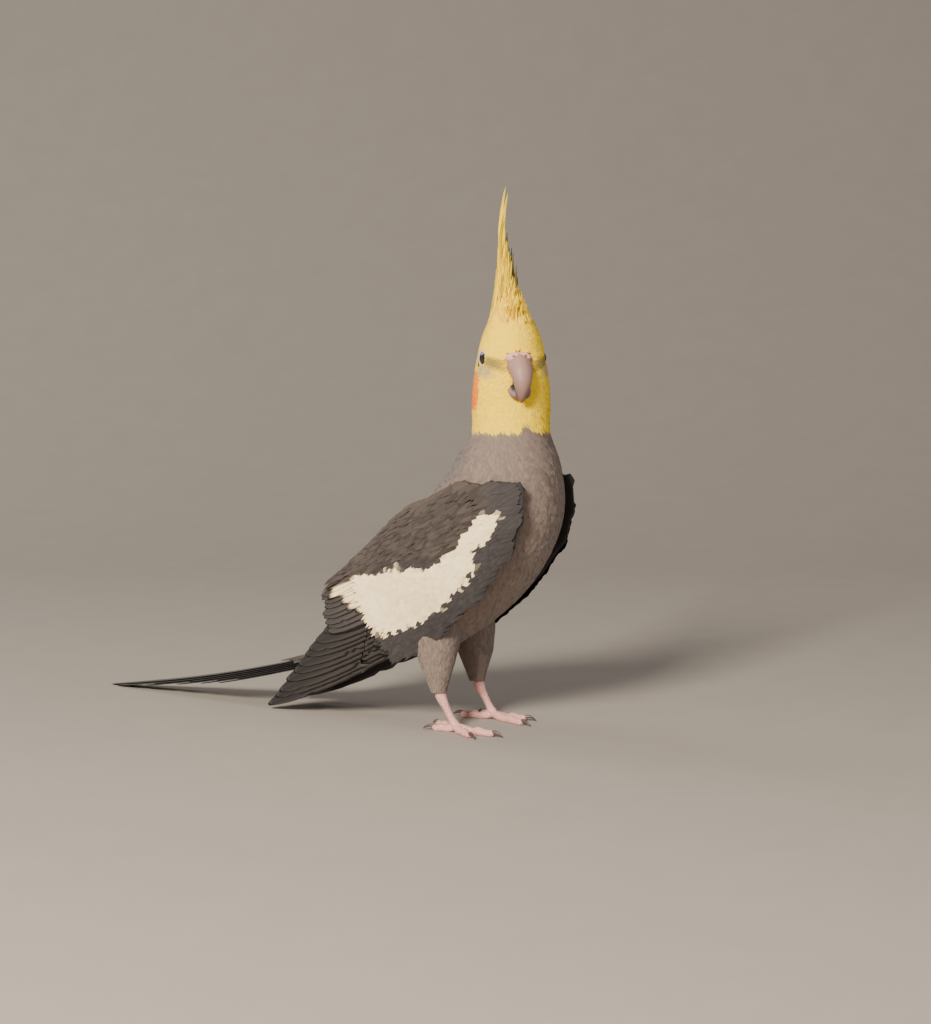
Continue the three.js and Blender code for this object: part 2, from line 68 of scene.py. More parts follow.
# The trunk from rump to crown: f, h, half width, depth to the front and to the back
TRUNK = np.array([
    [-60, 31, 9, 6.5, 7.5],
    [-49, 38, 14.5, 11, 13],
    [-36, 48, 20, 23, 19],
    [-22, 61, 25, 28.5, 24.5],
    [-8, 75, 27.5, 31.5, 27],
    [4, 88, 28.3, 31.5, 27],
    [13, 103, 26.5, 29.5, 25.5],
    [17.2, 118, 22.5, 23.5, 22.5],
    [18.3, 131, 17.2, 17, 18],
    [18.5, 143, 17.0, 15.8, 17],
    [18.7, 154, 16.3, 15.8, 17.2],
    [18.9, 164, 14.7, 14.8, 17],
    [18.4, 172, 12.9, 12.6, 15.4],
    [17.6, 179, 10.2, 8.8, 12.2],
    [16.8, 185, 6.4, 4.6, 8.2],
], float)
LAST = len(TRUNK) - 1

rng = np.random.default_rng(11)


def draws(*shape):
    return rng.uniform(-1, 1, shape or None)


# Places on the bird

def smooth(x, a, b):
    t = np.clip((np.asarray(x, float) - a) / (b - a), 0, 1)
    return t * t * (3 - 2 * t)


def lerp(a, b, t):
    return a + (b - a) * t


def circle(count):
    return np.arange(count) / count * 2 * pi


def unit(vectors):
    return vectors / norm(vectors, axis=-1, keepdims=True)


def aligned(*values):
    return np.broadcast_arrays(*[np.asarray(q, float) for q in values])


def at(x, f, h):
    """Model axes from the bird's own: x to its left, f forward, h up."""
    x, f, h = aligned(x, f, h)
    return np.stack([x, -f, h], axis=-1)


def turned(x, f, h, share):
    a = HEAD_TURN * share
    df = f - NECK_F
    return at(x * np.cos(a) - df * np.sin(a), NECK_F + x * np.sin(a) + df * np.cos(a), h)


def in_head(x, f, h):
    return turned(x, NECK_F + np.asarray(f, float), h, 1.0)


def between_rows(table, s):
    """Rows on the smooth curve through a table's rows."""
    last = len(table) - 1
    i = np.clip(np.floor(s), 0, last - 1).astype(int)
    t = (s - i)[..., None]
    a, b, c, d = (table[np.clip(i + k, 0, last)] for k in (-1, 0, 1, 2))
    return 0.5 * (2 * b + (c - a) * t + (2 * a - 5 * b + 4 * c - d) * t**2 + (3 * b - a - 3 * c + d) * t**3)


def spline(table, count):
    return between_rows(np.array(table, float), np.linspace(0, len(table) - 1, count))


def on_trunk(s, angle, out=0.0):
    """A place at station s, angle from the front and out millimetres off."""
    s, angle, out = aligned(s, angle, out)
    step = 0.2
    c = between_rows(TRUNK, s)
    slope = between_rows(TRUNK, np.minimum(s + step, LAST)) - between_rows(TRUNK, np.maximum(s - step, 0))
    length = np.hypot(slope[..., 0], slope[..., 1])
    tf, th = slope[..., 0] / length, slope[..., 1] / length
    depth = np.where(np.cos(angle) > 0, c[..., 3], c[..., 4]) + out
    reach = np.cos(angle) * depth
    x = np.sin(angle) * (c[..., 2] + out)
    share = smooth(c[..., 1], TURN_FROM, TURN_TO)
    return turned(x, c[..., 0] + th * reach, c[..., 1] - tf * reach, share)


def along(table, u):
    xs, ys = np.array(table, float).T
    i = np.clip(np.searchsorted(xs, u) - 1, 0, len(xs) - 2)
    return lerp(ys[i], ys[i + 1], smooth((u - xs[i]) / (xs[i + 1] - xs[i]), 0, 1))


# The closed wing by its run u from the bend: how far out it lies, its ridge, roundness and the pad's edges
WING_OUT = [[-6, 24], [20, 31], [50, 31.5], [90, 26], [130, 20], [WING_LENGTH, 17.5]]
WING_AXIS = [[0, -4], [50, -11], [100, -16], [WING_LENGTH, -9]]
WING_ROUND = [[0, 34], [60, 39], [WING_LENGTH, 44]]
WING_FRONT = [[-4, -6], [6, -18], [18, -26], [40, -31], [66, -32], [90, -28]]
WING_BACK = [[-4, -2], [6, 5], [20, 14], [50, 20], [90, 19]]
WING_FLOOR, TAIL_FLOOR = 0.8, 0.05


def on_wing(side, u, v, lift=0.0):
    u, v, lift = aligned(u, v, lift)

    def flat(a, b):
        q = (b - along(WING_AXIS, a)) / along(WING_ROUND, a)
        return along(WING_OUT, a) * np.sqrt(np.maximum(0.12, 1 - q * q))

    x = flat(u, v)
    du, dv = flat(u + 1, v) - x, flat(u, v + 1) - x
    size = lift / np.sqrt(1 + du**2 + dv**2)
    uu, vv = u - du * size, v - dv * size
    f = BEND_F - cos(WING_SLOPE) * uu - sin(WING_SLOPE) * vv
    h = BEND_H - sin(WING_SLOPE) * uu + cos(WING_SLOPE) * vv
    return at(side * (x + size), f, np.maximum(h, WING_FLOOR))


def on_tail(x, run, lift):
    sag = TAIL_SAG * np.sin(pi * np.clip(run, 0, TAIL_LENGTH) / TAIL_LENGTH)
    f = TAIL_F - cos(TAIL_SLOPE) * run + sin(TAIL_SLOPE) * lift
    h = TAIL_H - 0.2 - sin(TAIL_SLOPE) * run - sag + cos(TAIL_SLOPE) * lift
    return at(x, f, np.maximum(h, TAIL_FLOOR))


def eye_place(side, out=EYE_OUT):
    return in_head(side * sin(EYE_ANGLE) * out, EYE_F + cos(EYE_ANGLE) * out, EYE_H)


# From the bird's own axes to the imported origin, by the eye
eye_lo, eye_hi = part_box("eye_left")
SHIFT = np.array((eye_lo + eye_hi) / 2) / MM - eye_place(1)


# Meshes from numpy arrays

def shade_smooth(mesh):
    mesh.polygons.foreach_set("use_smooth", np.ones(len(mesh.polygons), bool))


def paint_coat(mesh, colour):
    layer = mesh.color_attributes.new("Coat", "FLOAT_COLOR", "POINT")
    rgba = np.concatenate([colour.reshape(-1, 3), np.ones((len(mesh.vertices), 1))], axis=1)
    layer.data.foreach_set("color", rgba.ravel())


def linked(name, data):
    obj = bpy.data.objects.new(name, data)
    bpy.context.scene.collection.objects.link(obj)
    return obj


def make_object(name, points, quads, colour, bake_uv, vane_uv, look, replaces=(), normals=None):
    material, slot = look
    mesh = bpy.data.meshes.new(name)
    points = (np.asarray(points, float).reshape(-1, 3) + SHIFT) * MM
    quads = np.asarray(quads, int).reshape(-1, 4)
    mesh.vertices.add(len(points))
    mesh.vertices.foreach_set("co", points.ravel())
    mesh.loops.add(quads.size)
    mesh.loops.foreach_set("vertex_index", quads.ravel())
    mesh.polygons.add(len(quads))
    mesh.polygons.foreach_set("loop_start", np.arange(0, quads.size, 4))
    mesh.polygons.foreach_set("loop_total", np.full(len(quads), 4))
    for label, values in (("OFBake", bake_uv), ("Vane", vane_uv)):
        if values is not None:
            corners = np.asarray(values, float).reshape(-1, 2)[quads.ravel()]
            mesh.uv_layers.new(name=label).data.foreach_set("uv", corners.ravel())
    if colour is not None:
        paint_coat(mesh, colour)
    mesh.update()
    mesh.validate()
    shade_smooth(mesh)
    if normals is not None:
        mesh.normals_split_custom_set_from_vertices(normals)
    obj = linked(name, mesh)
    mesh.materials.append(material)
    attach(obj, "root")
    if replaces:
        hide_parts(*replaces)
    return obj


def vanes(name, top, under, colour, bake_uv, vane_uv, look, replaces=(), normals=None):
    """One mesh of closed vanes: top and under are (feather, row, column, xyz) and share rims."""
    sheets = [top, under, colour, bake_uv, vane_uv] + ([] if normals is None else [normals])
    facing = np.cross(top[:, 1:-1, 2:] - top[:, 1:-1, :-2], top[:, 2:, 1:-1] - top[:, :-2, 1:-1])
    if (facing * (top - under)[:, 1:-1, 1:-1]).sum() < 0:
        sheets = [sheet[:, :, ::-1] for sheet in sheets]
    top, under = sheets[:2]
    n, rows, columns = top.shape[:3]
    upper = np.arange(n * rows * columns).reshape(n, rows, columns)
    lower = upper.copy()
    inner = n * rows * columns + np.arange(n * (rows - 2) * (columns - 2))
    lower[:, 1:-1, 1:-1] = inner.reshape(n, rows - 2, columns - 2)

    def faces(ids, flip):
        a, b, c, d = ids[:, :-1, :-1], ids[:, :-1, 1:], ids[:, 1:, 1:], ids[:, 1:, :-1]
        return np.stack((a, d, c, b) if flip else (a, b, c, d), axis=-1).reshape(-1, 4)

    def both(upper_values, lower_values=None):
        lower_values = upper_values if lower_values is None else lower_values
        width = upper_values.shape[-1]
        inside = lower_values[:, 1:-1, 1:-1]
        return np.concatenate([upper_values.reshape(-1, width), inside.reshape(-1, width)])

    quads = np.concatenate([faces(upper, False), faces(lower, True)])
    colour, bake_uv, vane_uv, *lie = [both(sheet) for sheet in sheets[2:]]
    make_object(name, both(top, under), quads, colour, bake_uv, vane_uv, look, replaces, *lie)


def tube(rings):
    """Quads over rings (ring, side, xyz), each end drawn in to a point."""
    n = rings.shape[1]
    first, last = rings[0].mean(axis=0), rings[-1].mean(axis=0)
    start = [lerp(first, rings[0], 0.02), lerp(first, rings[0], 0.6)]
    end = [lerp(last, rings[-1], 0.6), lerp(last, rings[-1], 0.02)]
    rings = np.concatenate([start, rings, end])
    ids = np.arange(len(rings) * n).reshape(len(rings), n)
    around = np.roll(ids, -1, axis=1)
    quads = np.stack([ids[:-1], around[:-1], around[1:], ids[1:]], axis=-1).reshape(-1, 4)
    return rings.reshape(-1, 3), quads


def tubes(all_rings):
    points, quads = tube(all_rings[0])
    for rings in all_rings[1:]:
        more, faces = tube(rings)
        quads = np.concatenate([quads, faces + len(points)])
        points = np.concatenate([points, more])
    return points, quads


def flat_uv(rings_count, sides):
    spans = [np.linspace(0.02, 0.98, count) for count in (sides, rings_count)]
    return np.stack(np.meshgrid(*spans), axis=-1)


def tube_object(name, rings, paint, scale, look, replaces=()):
    """A closed tube; paint(run) colours it by the share of its length."""
    points, quads = tube(rings)
    sides = rings.shape[1]
    count = len(points) // sides
    run = np.linspace(0, 1, count)[:, None] * np.ones((1, sides))
    colour = None if paint is None else paint(run)
    flat = flat_uv(count, sides)
    make_object(name, points, quads, colour, flat, flat * scale, look, replaces)


def one_skin(obj, voxel, passes):
    """Joins an object's overlapping tubes in one closed skin."""
    remesh = obj.modifiers.new("one_skin", "REMESH")
    remesh.mode = "VOXEL"
    remesh.voxel_size = voxel * MM
    obj.modifiers.new("even", "SMOOTH").iterations = passes
    graph = bpy.context.evaluated_depsgraph_get()
    obj_mesh = bpy.data.meshes.new_from_object(obj.evaluated_get(graph))
    obj.modifiers.clear()
    obj.data = obj_mesh
    shade_smooth(obj_mesh)
    return obj_mesh


# Shader maths

class Value:
    """A shader socket in an expression: its operators add Math nodes."""

    def __init__(self, shader, socket):
        self.shader, self.socket = shader, socket

    def math(self, operation, a, b=None, clamp=False):
        inputs = {0: a} if b is None else {0: a, 1: b}
        return self.shader.node("Math", {"operation": operation, "use_clamp": clamp}, inputs)

    def absolute(self):
        return self.math("ABSOLUTE", self)

    def sine(self):
        return self.math("SINE", self)

    def held(self):
        """The value held between 0 and 1."""
        return self.math("ADD", self, 0.0, clamp=True)


def operator(operation, swapped):
    def apply(self, other):
        return self.math(operation, other, self) if swapped else self.math(operation, self, other)
    return apply


for word, operation in (("add", "ADD"), ("sub", "SUBTRACT"), ("mul", "MULTIPLY"), ("truediv", "DIVIDE")):
    setattr(Value, f"__{word}__", operator(operation, False))
    setattr(Value, f"__r{word}__", operator(operation, True))


class Shader:
    def __init__(self, name):
        self.material = bpy.data.materials.new(name)
        self.material.use_nodes = True
        self.tree = self.material.node_tree
        self.surface = self.tree.nodes["Principled BSDF"]

    def plug(self, socket, value):
        if isinstance(value, Value):
            self.tree.links.new(value.socket, socket)
        else:
            socket.default_value = value

    def set(self, **values):
        for name, value in values.items():
            self.plug(self.surface.inputs[name.replace("_", " ")], value)

    def node(self, kind, settings=None, inputs=None, output=0):
        node = self.tree.nodes.new("ShaderNode" + kind)
        for key, value in (settings or {}).items():
            setattr(node, key, value)
        for key, value in (inputs or {}).items():
            self.plug(node.inputs[key], value)
        return Value(self, node.outputs[output])

    def mix(self, factor, a, b, kind="MIX"):
        a, b = ((*c, 1) if isinstance(c, tuple) else c for c in (a, b))
        settings = {"data_type": "RGBA", "blend_type": kind}
        return self.node("Mix", settings, {0: factor, 6: a, 7: b}, 2)

    def noise(self, scale, detail=3, stretch=None):
        place = self.node("TexCoord", output=3)
        if stretch:
            place = self.node("Mapping", {}, {"Vector": place, "Scale": stretch})
        return self.node("TexNoise", {}, {"Vector": place, "Scale": scale, "Detail": detail})

    def coat(self):
        return self.node("Attribute", {"attribute_name": "Coat"})

    def bump(self, height, strength, distance):
        return self.node("Bump", {}, {"Height": height, "Strength": strength, "Distance": distance})


def feather_finish(name, roughness, barb, depth, shaft, gloss, rib_share):
    """Barbs run out and forward from the shaft; barb is their spacing and shaft the half width, in mm."""
    sh = Shader(name)
    place = sh.node("UVMap", {"uv_map": "Vane"})
    side = sh.node("SeparateXYZ", {}, {0: place}, 0).absolute()
    run = sh.node("SeparateXYZ", {}, {0: place}, 1)
    lines = ((run - side * 0.9) * (2 * pi / barb)).sine() * 0.5 + 0.5
    rib = (1 - side / shaft).held()
    coat_colour = sh.coat()
    mottle = sh.noise(260, 4)
    shade = (mottle * 0.5 + 0.55 + lines * depth).held()
    dark = sh.mix(1.0, coat_colour, (0.78, 0.76, 0.74), "MULTIPLY")
    base = sh.mix(shade, dark, coat_colour)
    ribbed = sh.mix(rib * rib_share, base, (0.55, 0.5, 0.45))
    sh.set(Base_Color=ribbed, Roughness=roughness, Specular_IOR_Level=gloss)
    sh.set(Sheen_Weight=0.3 * gloss, Sheen_Roughness=0.6)
    sh.set(Normal=sh.bump(lines * 0.6 + rib + mottle * 0.4, 0.35, 0.0001))
    return sh.material


def horn_finish(name, colour, dark, roughness):
    sh = Shader(name)
    streak = sh.noise(90, 5, (1, 1, 0.25))
    fine = sh.noise(700, 3)
    base = sh.mix(1.0, sh.coat(), sh.mix((streak * 1.6 - 0.35).held(), dark, colour), "MULTIPLY")
    sh.set(Base_Color=base, Roughness=(fine * 0.25 + roughness), Specular_IOR_Level=0.45)
    sh.set(Subsurface_Weight=0.08, Subsurface_Scale=0.001)
    sh.set(Normal=sh.bump(streak + fine * 0.3, 0.35, 0.0002))
    return sh.material


def skin_finish(name, colour, dark, cell, depth, marked=False):
    """Bare skin with small raised scales about 1/cell metres across."""
    sh = Shader(name)
    place = sh.node("TexCoord", output=3)
    cells = sh.node("TexVoronoi", {"feature": "DISTANCE_TO_EDGE"}, {"Vector": place, "Scale": cell})
    blotch = sh.noise(220, 4)
    crack = (1 - cells * 9).held()
    base = sh.mix((crack * 0.5 + blotch * 0.7 - 0.2).held(), colour, dark)
    if marked:
        base = sh.mix(1.0, base, sh.coat(), "MULTIPLY")
    sh.set(Base_Color=base, Roughness=0.55, Specular_IOR_Level=0.4)
    sh.set(Subsurface_Weight=0.12, Subsurface_Scale=0.001)
    sh.set(Normal=sh.bump((cells * 6).held() + blotch * 0.3, 0.6, depth))
    return sh.material


def eye_finish():
    sh = Shader("eye_gloss")
    sh.set(Base_Color=sh.mix(sh.noise(400, 2), (0.006, 0.004, 0.004), (0.02, 0.011, 0.008)), Roughness=0.06)
    sh.set(Coat_Weight=1.0, Coat_Roughness=0.02)
    return sh.material


# What a piece is made of, and its slot
YELLOW_COAT = feather_finish("face_plumage", 0.85, 0.5, 0.35, 0.12, 0.1, 0.12), "yellow_feather"
GREY_COAT = feather_finish("body_plumage", 0.82, 0.6, 0.35, 0.15, 0.3, 0.12), "grey_feather"
WING_COAT = feather_finish("wing_vane", 0.75, 0.5, 0.3, 0.4, 0.15, 0.02), "wing_feather"
TAIL_COAT = feather_finish("tail_vane", 0.6, 0.5, 0.25, 0.45, 0.3, 0.03), "tail_feather"
BILL_HORN = horn_finish("bill_horn", (0.36, 0.21, 0.175), (0.21, 0.125, 0.11), 0.4), "bill_horn"
CLAW_HORN = horn_finish("claw_horn", (0.12, 0.09, 0.08), (0.05, 0.04, 0.035), 0.3), "claw_horn"
CERE_SKIN = skin_finish("cere_skin", (0.78, 0.42, 0.37), (0.55, 0.25, 0.22), 900, 0.0002, True), "cere_skin"
FOOT_SKIN = skin_finish("foot_scales", (0.74, 0.4, 0.36), (0.5, 0.24, 0.21), 620, 0.0003), "foot_skin"
RING_SKIN = skin_finish("eye_ring_skin", (0.62, 0.58, 0.56), (0.3, 0.27, 0.26), 1300, 0.0002), "cere_skin"
EYE_GLOSS = eye_finish(), "eye"


def rgb(*channels):
    return np.array(channels)


# Plumage colours, linear
YELLOW = rgb(0.99, 0.66, 0.012)
PALE_YELLOW = rgb(0.97, 0.74, 0.14)
ORANGE = rgb(0.93, 0.2, 0.001)
GREY = rgb(0.195, 0.148, 0.124)
DARK_GREY = rgb(0.1, 0.085, 0.08)
OLIVE = rgb(0.15, 0.12, 0.05)
BARE_GREY = rgb(0.3, 0.27, 0.2)
CREAM = rgb(0.98, 0.77, 0.47)
SLATE = rgb(0.04, 0.036, 0.037)
SCAPULAR = rgb(0.05, 0.04, 0.036)
PALE_EDGE = rgb(0.2, 0.175, 0.16)
BLACK = rgb(0.016, 0.014, 0.014)
WHITE = np.ones(3)

# Marks on the head by angle from the bill and height: middle angle, half angle, middle height, half height
FACE_H, NAPE_H = 136, 172
EAR_PATCH = (1.5, 0.42, 152.8, 7.8)
BARE_PATCH = (0.93, 0.36, 159.4, 2.3)
LORE = (0.66, 0.42, 163.6, 2.0)


def blend(a, b, mask):
    return a + (b - a) * np.asarray(mask)[..., None]


def spot(side, h, mark, power):
    angle, half_angle, height, half_height = mark
    return ((side - angle) / half_angle) ** power + ((h - height) / half_height) ** power


def head_marks(angle, h, draw):
    """Colour of a coat root by its place round the neck or head and its height."""
    side = np.abs((angle + pi) % (2 * pi) - pi)
    grey = blend(GREY, DARK_GREY, 0.45 * smooth(side, 1.4, 2.6))
    notch = 3.5 * np.exp(-((angle + 0.05) / 0.16) ** 2)
    border = FACE_H + 0.9 * draw + notch + 30 * smooth(side, 1.95, 2.35)
    border = np.where(side > 2.2, np.maximum(border, NAPE_H), border)
    yellow = blend(PALE_YELLOW, YELLOW, smooth(h, 133, 138) * (1 - 0.3 * smooth(side, 1.3, 1.9)))
    colour = blend(grey, yellow, smooth(h + 0.8 * draw, border - 0.8, border + 0.8))
    hot = blend(ORANGE * [0.97, 1.4, 1.0], ORANGE, smooth(157 - h, 0, 9))
    patch = smooth(1.1 - spot(side, h, EAR_PATCH, 2) - 0.14 * draw, 0, 0.22)
    colour = colour + (hot - colour) * patch[..., None]
    colour = blend(colour, BARE_GREY, (0.7 + 0.25 * draw) * np.exp(-spot(side, h, BARE_PATCH, 4)))
    colour = blend(colour, OLIVE, 0.85 * np.exp(-spot(side, h + 2.6 * (0.95 - side), LORE, 4)))
    streak = smooth(h, 168, 178) * smooth(side + 0.25 * draw, 0.7, 1.9)
    return blend(colour, OLIVE, 0.6 * streak)


# Small coat feathers: rows from root to tip, sides from edge to edge, and the half width at each row

FEATHER_ROWS = np.array([0, 0.32, 0.62, 0.84, 1.0])
FEATHER_SIDES = np.array([-1, -0.5, 0, 0.5, 1])
FEATHER_WIDTH = np.array([0.45, 0.9, 1.0, 0.78, 0.36])
TUFT_TILT = 0.12  # how far a feather turns the light its own way
TUFT_THICK = 0.09
FRINGE, ROUND_TIP = 0.09, 0.2  # how ragged and how round a tip is, as shares of the length
TUFT_PATCH = 0.0015  # half a tuft's patch in the bake's unwrap
ROOT_TONE = 0.97


def paces(place, s, angle, step=0.02):
    """Millimetres on a surface to one unit of s and to one of the angle."""
    here = place(s, angle, 0 * s)
    along_s = norm(place(s + step, angle, 0 * s) - here, axis=-1) / step
    return along_s, norm(place(s, angle + step, 0 * s) - here, axis=-1) / step


def scatter(place, s, angle, length, width, flow, root_out, tip_out):
    """Grids (feather, row, column) laid on a surface given by place(s, angle, out) in millimetres."""
    s, angle, length, width, flow, root_out, tip_out, along_s, along_a = (
        q[:, None, None] for q in (s, angle, length, width, flow, root_out, tip_out, *paces(place, s, angle)))
    rows, sides = FEATHER_ROWS[:, None], FEATHER_SIDES
    fringe = FRINGE * np.where(np.arange(5) % 2, 1, -1) * rows**3 * rng.uniform(0.3, 1.8, (len(s), 1, 5))
    t = np.clip(rows + fringe - ROUND_TIP * sides**2 * rows**2, 0, None)
    run = t * length
    across = sides * FEATHER_WIDTH[:, None] * width / 2
    top_s = s + (run * np.cos(flow) - across * np.sin(flow)) / along_s
    top_a = angle + (run * np.sin(flow) + across * np.cos(flow)) / along_a
    out = lerp(root_out, tip_out, smooth(t, 0, 0.9)) + 0.03 * width * (1 - sides**2)
    top = place(top_s, top_a, out)
    under = place(top_s, top_a, out - TUFT_THICK)
    vane = np.stack([across, run], axis=-1)
    # Each feather takes the light as the surface under it does, tilted a little its own way.
    normal = place(top_s, top_a, out + 0.4) - top + 0.4 * TUFT_TILT * draws(len(s), 1, 1, 3)
    return top, under, vane, unit(normal)


def lay(name, place, s, angle, length, width, flow, lift, paint, tip_tone, root_uv, look):
    """One mesh of small feathers; each one's bake patch lies where its root does on the skin's unwrap."""
    outs = [np.broadcast_to(np.asarray(out, float), s.shape) for out in lift]
    top, under, vane, normals = scatter(place, s, angle, length, width, flow, *outs)
    tone = lerp(ROOT_TONE, tip_tone, FEATHER_ROWS)[:, None, None] * np.ones((5, 1))
    paint = np.clip(paint[:, None, None, :] * tone, 0, 1)
    size = np.abs(vane).max(axis=(1, 2), keepdims=True)
    bake = (0.02 + 0.96 * root_uv)[:, None, None, :] + TUFT_PATCH * vane / size
    vanes(name, top, under, paint, bake, vane, look, normals=normals)


def coat(name, place, s, angle, length, slim, flow, colour, look, lift, share):
    """Body feathers; share is each root's place along the skin, 0 to 1."""
    draw = draws(len(s), 3)
    root_uv = np.stack([(angle / (2 * pi)) % 1, share], axis=-1)
    lay(name, place, s, angle, length * (1 + 0.16 * draw[:, 1]), length * slim, flow + 0.08 * draw[:, 0],
        (lift[0], lift[1] * (1 + 0.3 * draw[:, 2])), colour * (1 + 0.05 * draw[:, 1])[:, None], 1.02,
        root_uv, look)


def rows_on(place, s_from, s_to, length_at, width_at, covered=0.2, beside=0.6):
    """Roots in staggered rows, as close as the feathers' own length and width ask."""
    roots = []
    s = s_from
    turn = 2 * pi
    while s < s_to:
        pace = paces(place, np.array([s]), np.array([0.0]))[0][0]
        ring = place(np.full(48, s), np.linspace(-pi, pi, 48), 0.0)
        girth = norm(np.diff(ring, axis=0), axis=1).sum()
        count = max(6, int(girth / (width_at(s) * beside)))
        angle = -pi + (np.arange(count) + 0.5 * (len(roots) % 2)) / count * turn
        angle = angle + rng.uniform(-0.25, 0.25, count) * turn / count
        step = length_at(s) * covered / pace
        roots.append(np.stack([s + rng.uniform(-0.25, 0.25, count) * step, angle], axis=1))
        s += step
    return np.concatenate(roots)


TUFT_SLIM = 0.5  # a body tuft's width against its length
LENGTH_AT = ([0, 2, 5, 7, 8.3, 9.2, 11, 13], [10, 10, 9, 7.5, 5.5, 4.4, 3.2, 4.6])
FACE_S, BILL_S = 8.3, 11.05  # stations where the face begins and where the bill stands
EYE_CLEAR, TIP_CLEAR = 3.9, 3.7
# Balls over cere and bill that feathers keep out of: x, h and reach
BILL_CLEAR = ((-3.4, 164.7, 2.3), (0, 164.9, 2.4), (3.4, 164.7, 2.3), (0, 160, 4.3), (0, 155.5, 2.8),
              (0, 151.5, 3.7))


def trunk_length(s):
    return np.interp(s, *LENGTH_AT)


def head_flow(s, angle):
    """Direction of lie: down the trunk, and away from the bill on the face."""
    side = (angle + pi) % (2 * pi) - pi
    up = (s - BILL_S) * 9.0
    away = np.arctan2(side * 14.0, up)
    down = np.where(side >= 0, pi, -pi)
    keep = np.clip(smooth(np.abs(side), 1.0, 2.3) + smooth(-up, 5, 24), 0, 1)
    return np.where(s > FACE_S, away + (down - away) * keep, down)


def eye_distance(points):
    return np.minimum(*[norm(points - eye_place(side, EYE_OUT + 2.6), axis=-1) for side in (-1, 1)])


def tips_of(s, angle, length, flow):
    pace_s, pace_a = paces(on_trunk, s, angle)
    return on_trunk(s + np.cos(flow) * length / pace_s, angle + np.sin(flow) * length / pace_a)


def clear_of_face(points):
    keep = eye_distance(points) > EYE_CLEAR
    for x, h, reach in BILL_CLEAR:
        keep &= norm(points - in_head(x, 15.6, h), axis=-1) > reach
    return keep


def trunk_coat():
    s, angle = rows_on(on_trunk, 0.15, 13.8, trunk_length, lambda s: trunk_length(s) * TUFT_SLIM).T
    place = on_trunk(s, angle)
    keep = clear_of_face(place)
    s, angle, h = s[keep], angle[keep], place[keep, 2]
    length = trunk_length(s)
    flow = head_flow(s, angle)
    for _ in range(2):
        near = eye_distance(tips_of(s, angle, length, flow)) < TIP_CLEAR
        length = np.where(near, length * 0.6, length)
    draw = draws(len(s))
    body = blend(GREY, DARK_GREY, 0.75 * smooth(np.abs(angle), 1.5, 2.6)) * (1 + 0.1 * draw)[:, None]
    colour = np.where((h < 128)[:, None], body, head_marks(angle, h, draw))

    def coat_place(a, b, out):
        return on_trunk(np.clip(a, 0, LAST - 0.02), b, out)

    edges = (0, 2.2, 4.6, 6.9, 8.35, 10.6, 12.1, 14)
    for name, low, high in zip(("rump", "belly_back", "breast_mantle", "neck", "cheeks", "face", "crown"),
                               edges, edges[1:]):
        part = (s >= low) & (s < high)
        look = (YELLOW_COAT, (-0.3, 0.14)) if low > FACE_S else (GREY_COAT, (-0.3, 0.16))
        coat(f"coat_{name}", coat_place, s[part], angle[part], length[part], TUFT_SLIM, flow[part],
             colour[part], *look, s[part] / LAST)


# Skin under the coat, in one piece from rump to crown with both thighs.
# The thigh's rows are share of the feet's spread, f, h and radius.

THIGH = np.array([[0.74, -13, 52, 13], [0.88, -11, 42, 11.2], [1, -9.5, 31, 8], [1, -8.8, 18.6, 3.7],
                  [1, -7.9, 13.5, 2.5]], float)


def on_thigh(side, s, angle, out):
    s, angle, out = aligned(s, angle, out)
    spread, f, h, radius = (np.interp(s, np.arange(len(THIGH)), THIGH[:, k]) for k in range(4))
    reach = radius + out
    return at(side * spread * FOOT_SPREAD + np.sin(angle) * reach, f + np.cos(angle) * reach, h)


def body_skin():
    angles = circle(64)
    rings = [on_trunk(np.linspace(0.05, LAST - 0.1, 110)[:, None], angles, -SKIN_DEPTH)]
    for side in (-1, 1):
        rings.append(on_thigh(side, np.linspace(0, 3, 24)[:, None], -angles[::2], -SKIN_DEPTH))
    skin = make_object("body_skin", *tubes(rings), None, None, None, GREY_COAT,
                       ("head", "neck", "torso", "thigh_left", "thigh_right"))
    mesh = one_skin(skin, 0.8, 4)
    mesh.name = "body_skin"
    count = len(mesh.vertices)
    co = np.empty(count * 3)
    mesh.vertices.foreach_get("co", co)
    x, y, h = (co.reshape(-1, 3) / MM - SHIFT).T
    angle = np.arctan2(x, -y - 17) + HEAD_TURN * smooth(h, TURN_FROM, TURN_TO)
    colour = np.tile(GREY * 0.9, (count, 1))
    high = h > 128
    colour[high] = head_marks(angle[high], h[high], 0.0) * 0.92
    paint_coat(mesh, colour)


def thigh_coats():
    for name, side in SIDES:
        def place(s, angle, out):
            return on_thigh(side, np.clip(s, 0, 3.7), angle, out)

        s, angle = rows_on(place, 0.1, 2.98, lambda s: 8.5 - 1.2 * s, lambda s: 3.4 - 0.5 * s).T
        colour = GREY * (0.85 + 0.1 * draws(len(s)))[:, None]
        coat(f"coat_thigh_{name}", place, s, angle, 8.5 - 1.2 * s, 0.42, 0 * s, colour,
             GREY_COAT, (-0.3, 0.15), s / 3)


# Long vanes of wing, tail and crest

LONG_SIDES = np.linspace(-1, 1, 7)
SPLIT_SHARE, SPLIT_DEPTH = 0.04, 0.16  # how often and how deep a vane's edge is split
SHAFT_RISE = 0.14


def leaf(t, blunt=0.18):
    fall = np.where(t > 0.55, ((t - 0.55) / 0.46) ** 2, 0)
    return np.clip(0.55 + 2.2 * t, 0, 1) * np.sqrt(np.clip(1 - fall, blunt**2, 1))


def pointed(t):
    return np.clip(0.6 + 2 * t, 0, 1) * np.clip(1 - (np.clip(t - 0.3, 0, 1) / 0.72) ** 2.2, 0.05, 1)


